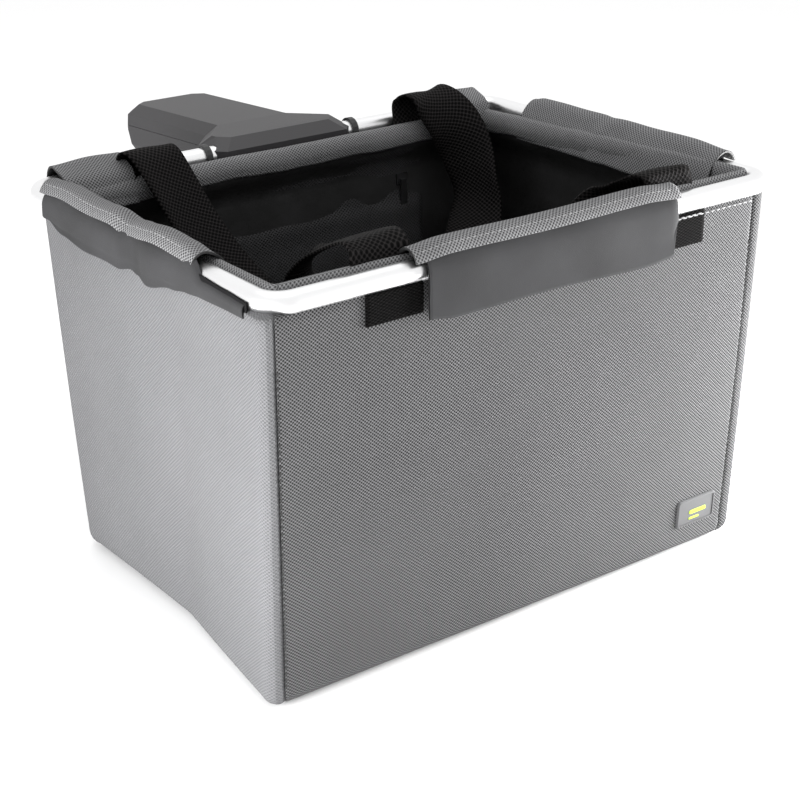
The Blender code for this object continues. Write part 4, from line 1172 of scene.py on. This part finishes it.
# %% [markdown]
# ## Stitches
#
# Sewing shows as short threads. Each row of stitches is one mesh of small capsules along a line.
# Pale thread closes the sleeves, the top of the front wall and one patch; dark thread closes the
# seams.

# %% Stitch maker
def stitches(name, line, mat, length=0.0026, gap=0.0014, radius=0.0003):
    """Short threads along a polyline."""
    pts = np.array(line, dtype=float)
    dist = np.concatenate([[0], np.cumsum(np.linalg.norm(np.diff(pts, axis=0), axis=1))])

    def at(d):
        return Vector([float(np.interp(d, dist, pts[:, k])) for k in range(3)])
    bm = bmesh.new()
    d = 0.0
    while d + length < dist[-1]:
        a, b = at(d), at(d + length)
        t = (b - a).normalized()
        side = t.cross(Vector((0.3, 0.2, 1))).normalized()
        other = t.cross(side)
        rings = []
        for s, r in ((0.0, 0.35), (0.2, 1.0), (0.8, 1.0), (1.0, 0.35)):
            p = a + (b - a) * s
            rings.append([bm.verts.new(p + (side * math.cos(k * math.pi / 3)
                                            + other * math.sin(k * math.pi / 3)) * radius * r)
                          for k in range(6)])
        for r0, r1 in zip(rings, rings[1:]):
            for k in range(6):
                bm.faces.new((r0[k], r0[(k + 1) % 6], r1[(k + 1) % 6], r1[k])).smooth = True
        bm.faces.new(rings[0][::-1])
        bm.faces.new(rings[-1])
        d += length + gap
    return from_bmesh(name, bm, mat)


print("stitch maker ready")

# %% Rows of stitches
def seam_line(grid_ob, cols, column, lift, z0, z1):
    """A vertical row of a wall panel between two heights."""
    verts = grid_ob.data.vertices
    rows_here = [verts[r * cols + column] for r in range(len(verts) // cols)]
    return [tuple(v.co + v.normal * lift) for v in rows_here if z0 <= v.co.z <= z1]


n_rows = len(skin)
for piece, tag in ((front_panel, "front"), (rear_panel, "rear")):
    cols = len(piece.data.vertices) // n_rows
    for k, column in ((1, 1), (2, cols - 2)):
        line = seam_line(piece, cols, column, 0.0001, 0.012, 0.214)
        stitches("%s_seam_stitch_%d" % (tag, k), line, THREAD_DARK)
for name, z, out, x0, x1, count in (("front_top_stitch", 0.2320, 0.0016, 0.098, 0.162, 40),
                                    ("front_patch_stitch", 0.2330, 0.0026, 0.086, 0.119, 20)):
    stitches(name, wall_line("front", z, out, np.linspace(x0, x1, count)), THREAD_PALE,
             length=0.0034, gap=0.0012, radius=0.0004)


def sleeve_line(ob, cols, share, lo, hi):
    """A row across a sleeve's section, from its own points, lifted a little."""
    verts = ob.data.vertices
    rows_here = len(verts) // cols
    r = int(round(share * (rows_here - 1)))
    line = [tuple(verts[r * cols + c].co + Vector((0, 0, 1)) * 0.0017) for c in range(cols)]
    return line[int(lo * cols):int(hi * cols)]


for tag, piece, cols, first in (("front", front_sleeve, 80, 0.03), ("left", left_sleeve, 110, 0.02),
                                ("right", right_sleeve, 100, 0.02)):
    stitches(tag + "_sleeve_stitch", sleeve_line(piece, cols, 0.84, first, 0.98), THREAD_PALE,
             length=0.0032, gap=0.0010, radius=0.00035)
print("stitch rows made")

# %% [markdown]
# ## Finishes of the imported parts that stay
#
# The adapter, its collars, the lock, the screws and the zip's slider are hard parts, so they are
# used as they are. Moulded edges are never razor sharp, and a small bevel gives them the thin
# highlight that shows it.

# %% Hard parts
HARD = {"rim_joiner": ALUMINIUM, "rim_collar_left": DARK_PLASTIC, "rim_collar_right": DARK_PLASTIC,
        "adapter_cover": PLASTIC, "adapter_shell": PLASTIC, "adapter_screw_1": STEEL,
        "adapter_screw_2": STEEL, "socket_plate": DARK_PLASTIC, "release_tab": DARK_PLASTIC,
        "latch_bolt": STEEL, "latch_spring": STEEL, "zip_slider": ZIP_METAL,
        "zip_pull": ZIP_METAL}
for name, mat in HARD.items():
    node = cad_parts[name]
    node.data.materials.clear()
    node.data.materials.append(mat)
    if name.startswith(("adapter_c", "adapter_shell", "rim_collar", "release", "zip_")):
        mod = node.modifiers.new("soft_edges", "BEVEL")
        mod.width = 0.0010 if name.startswith("adapter") else 0.0003
        mod.segments = 3
        mod.limit_method = "ANGLE"
        mod.angle_limit = math.radians(28)
print("hard parts finished:", len(HARD))

# %% [markdown]
# ## Studio
#
# A white studio: a pale floor, an even white surround, and three soft lights. One is close to the
# left wall, which is the brightest, one brightens the right end of the front wall, and a large
# one hangs above.

# %% Floor, lights and surround
def stage_floor():
    """A pale floor that is far larger than the basket."""
    me = bpy.data.meshes.new("studio_floor")
    me.from_pydata([(-6, -6, 0), (6, -6, 0), (6, 6, 0), (-6, 6, 0)], [], [(0, 1, 2, 3)])
    mat, tree, shader = material("studio floor")
    shader.inputs["Base Color"].default_value = (0.93, 0.93, 0.93, 1)
    shader.inputs["Roughness"].default_value = 0.9
    me.materials.append(mat)
    ob = bpy.data.objects.new("studio_floor", me)
    ob.location.z = -0.0002
    bpy.context.scene.collection.objects.link(ob)
    ob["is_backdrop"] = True
    return ob


def panel_light(name, place, target, wide, tall, power):
    """A soft light in a flat box, wide by tall metres, at place and facing target."""
    data = bpy.data.lights.new(name, "AREA")
    data.shape, data.size, data.size_y, data.energy = "RECTANGLE", wide, tall, power
    ob = bpy.data.objects.new(name, data)
    ob.location = place
    ob.rotation_euler = (Vector(target) - Vector(place)).to_track_quat("-Z", "Y").to_euler()
    ob.visible_camera = False
    bpy.context.scene.collection.objects.link(ob)
    return ob


stage_floor()
panel_light("left_panel_light", (-0.60, -0.19, 0.13), (-0.18, -0.10, 0.12), 0.35, 0.26, 4.6)
panel_light("right_panel_light", (0.47, -0.30, 0.15), (0.14, -0.14, 0.15), 0.22, 0.22, 7.5)
panel_light("top_soft", (0.1, 0.2, 2.2), (0, 0, 0.2), 1.4, 1.4, 10)
world = bpy.data.worlds.new("white_surround")
bpy.context.scene.world = world
world.use_nodes = True
world.node_tree.nodes["Background"].inputs["Color"].default_value = (1, 1, 1, 1)
world.node_tree.nodes["Background"].inputs["Strength"].default_value = 1.0
bpy.context.scene.view_settings.view_transform = "Standard"
print("studio lit")

# %% [markdown]
# ## Size and finish
#
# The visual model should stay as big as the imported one, give or take the looseness of cloth.

# %% Sizes and the end
seen_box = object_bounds()
for label_text, box in (("cad", cad_box), ("visual", seen_box)):
    print(label_text, [[round(v, 4) for v in corner] for corner in box])
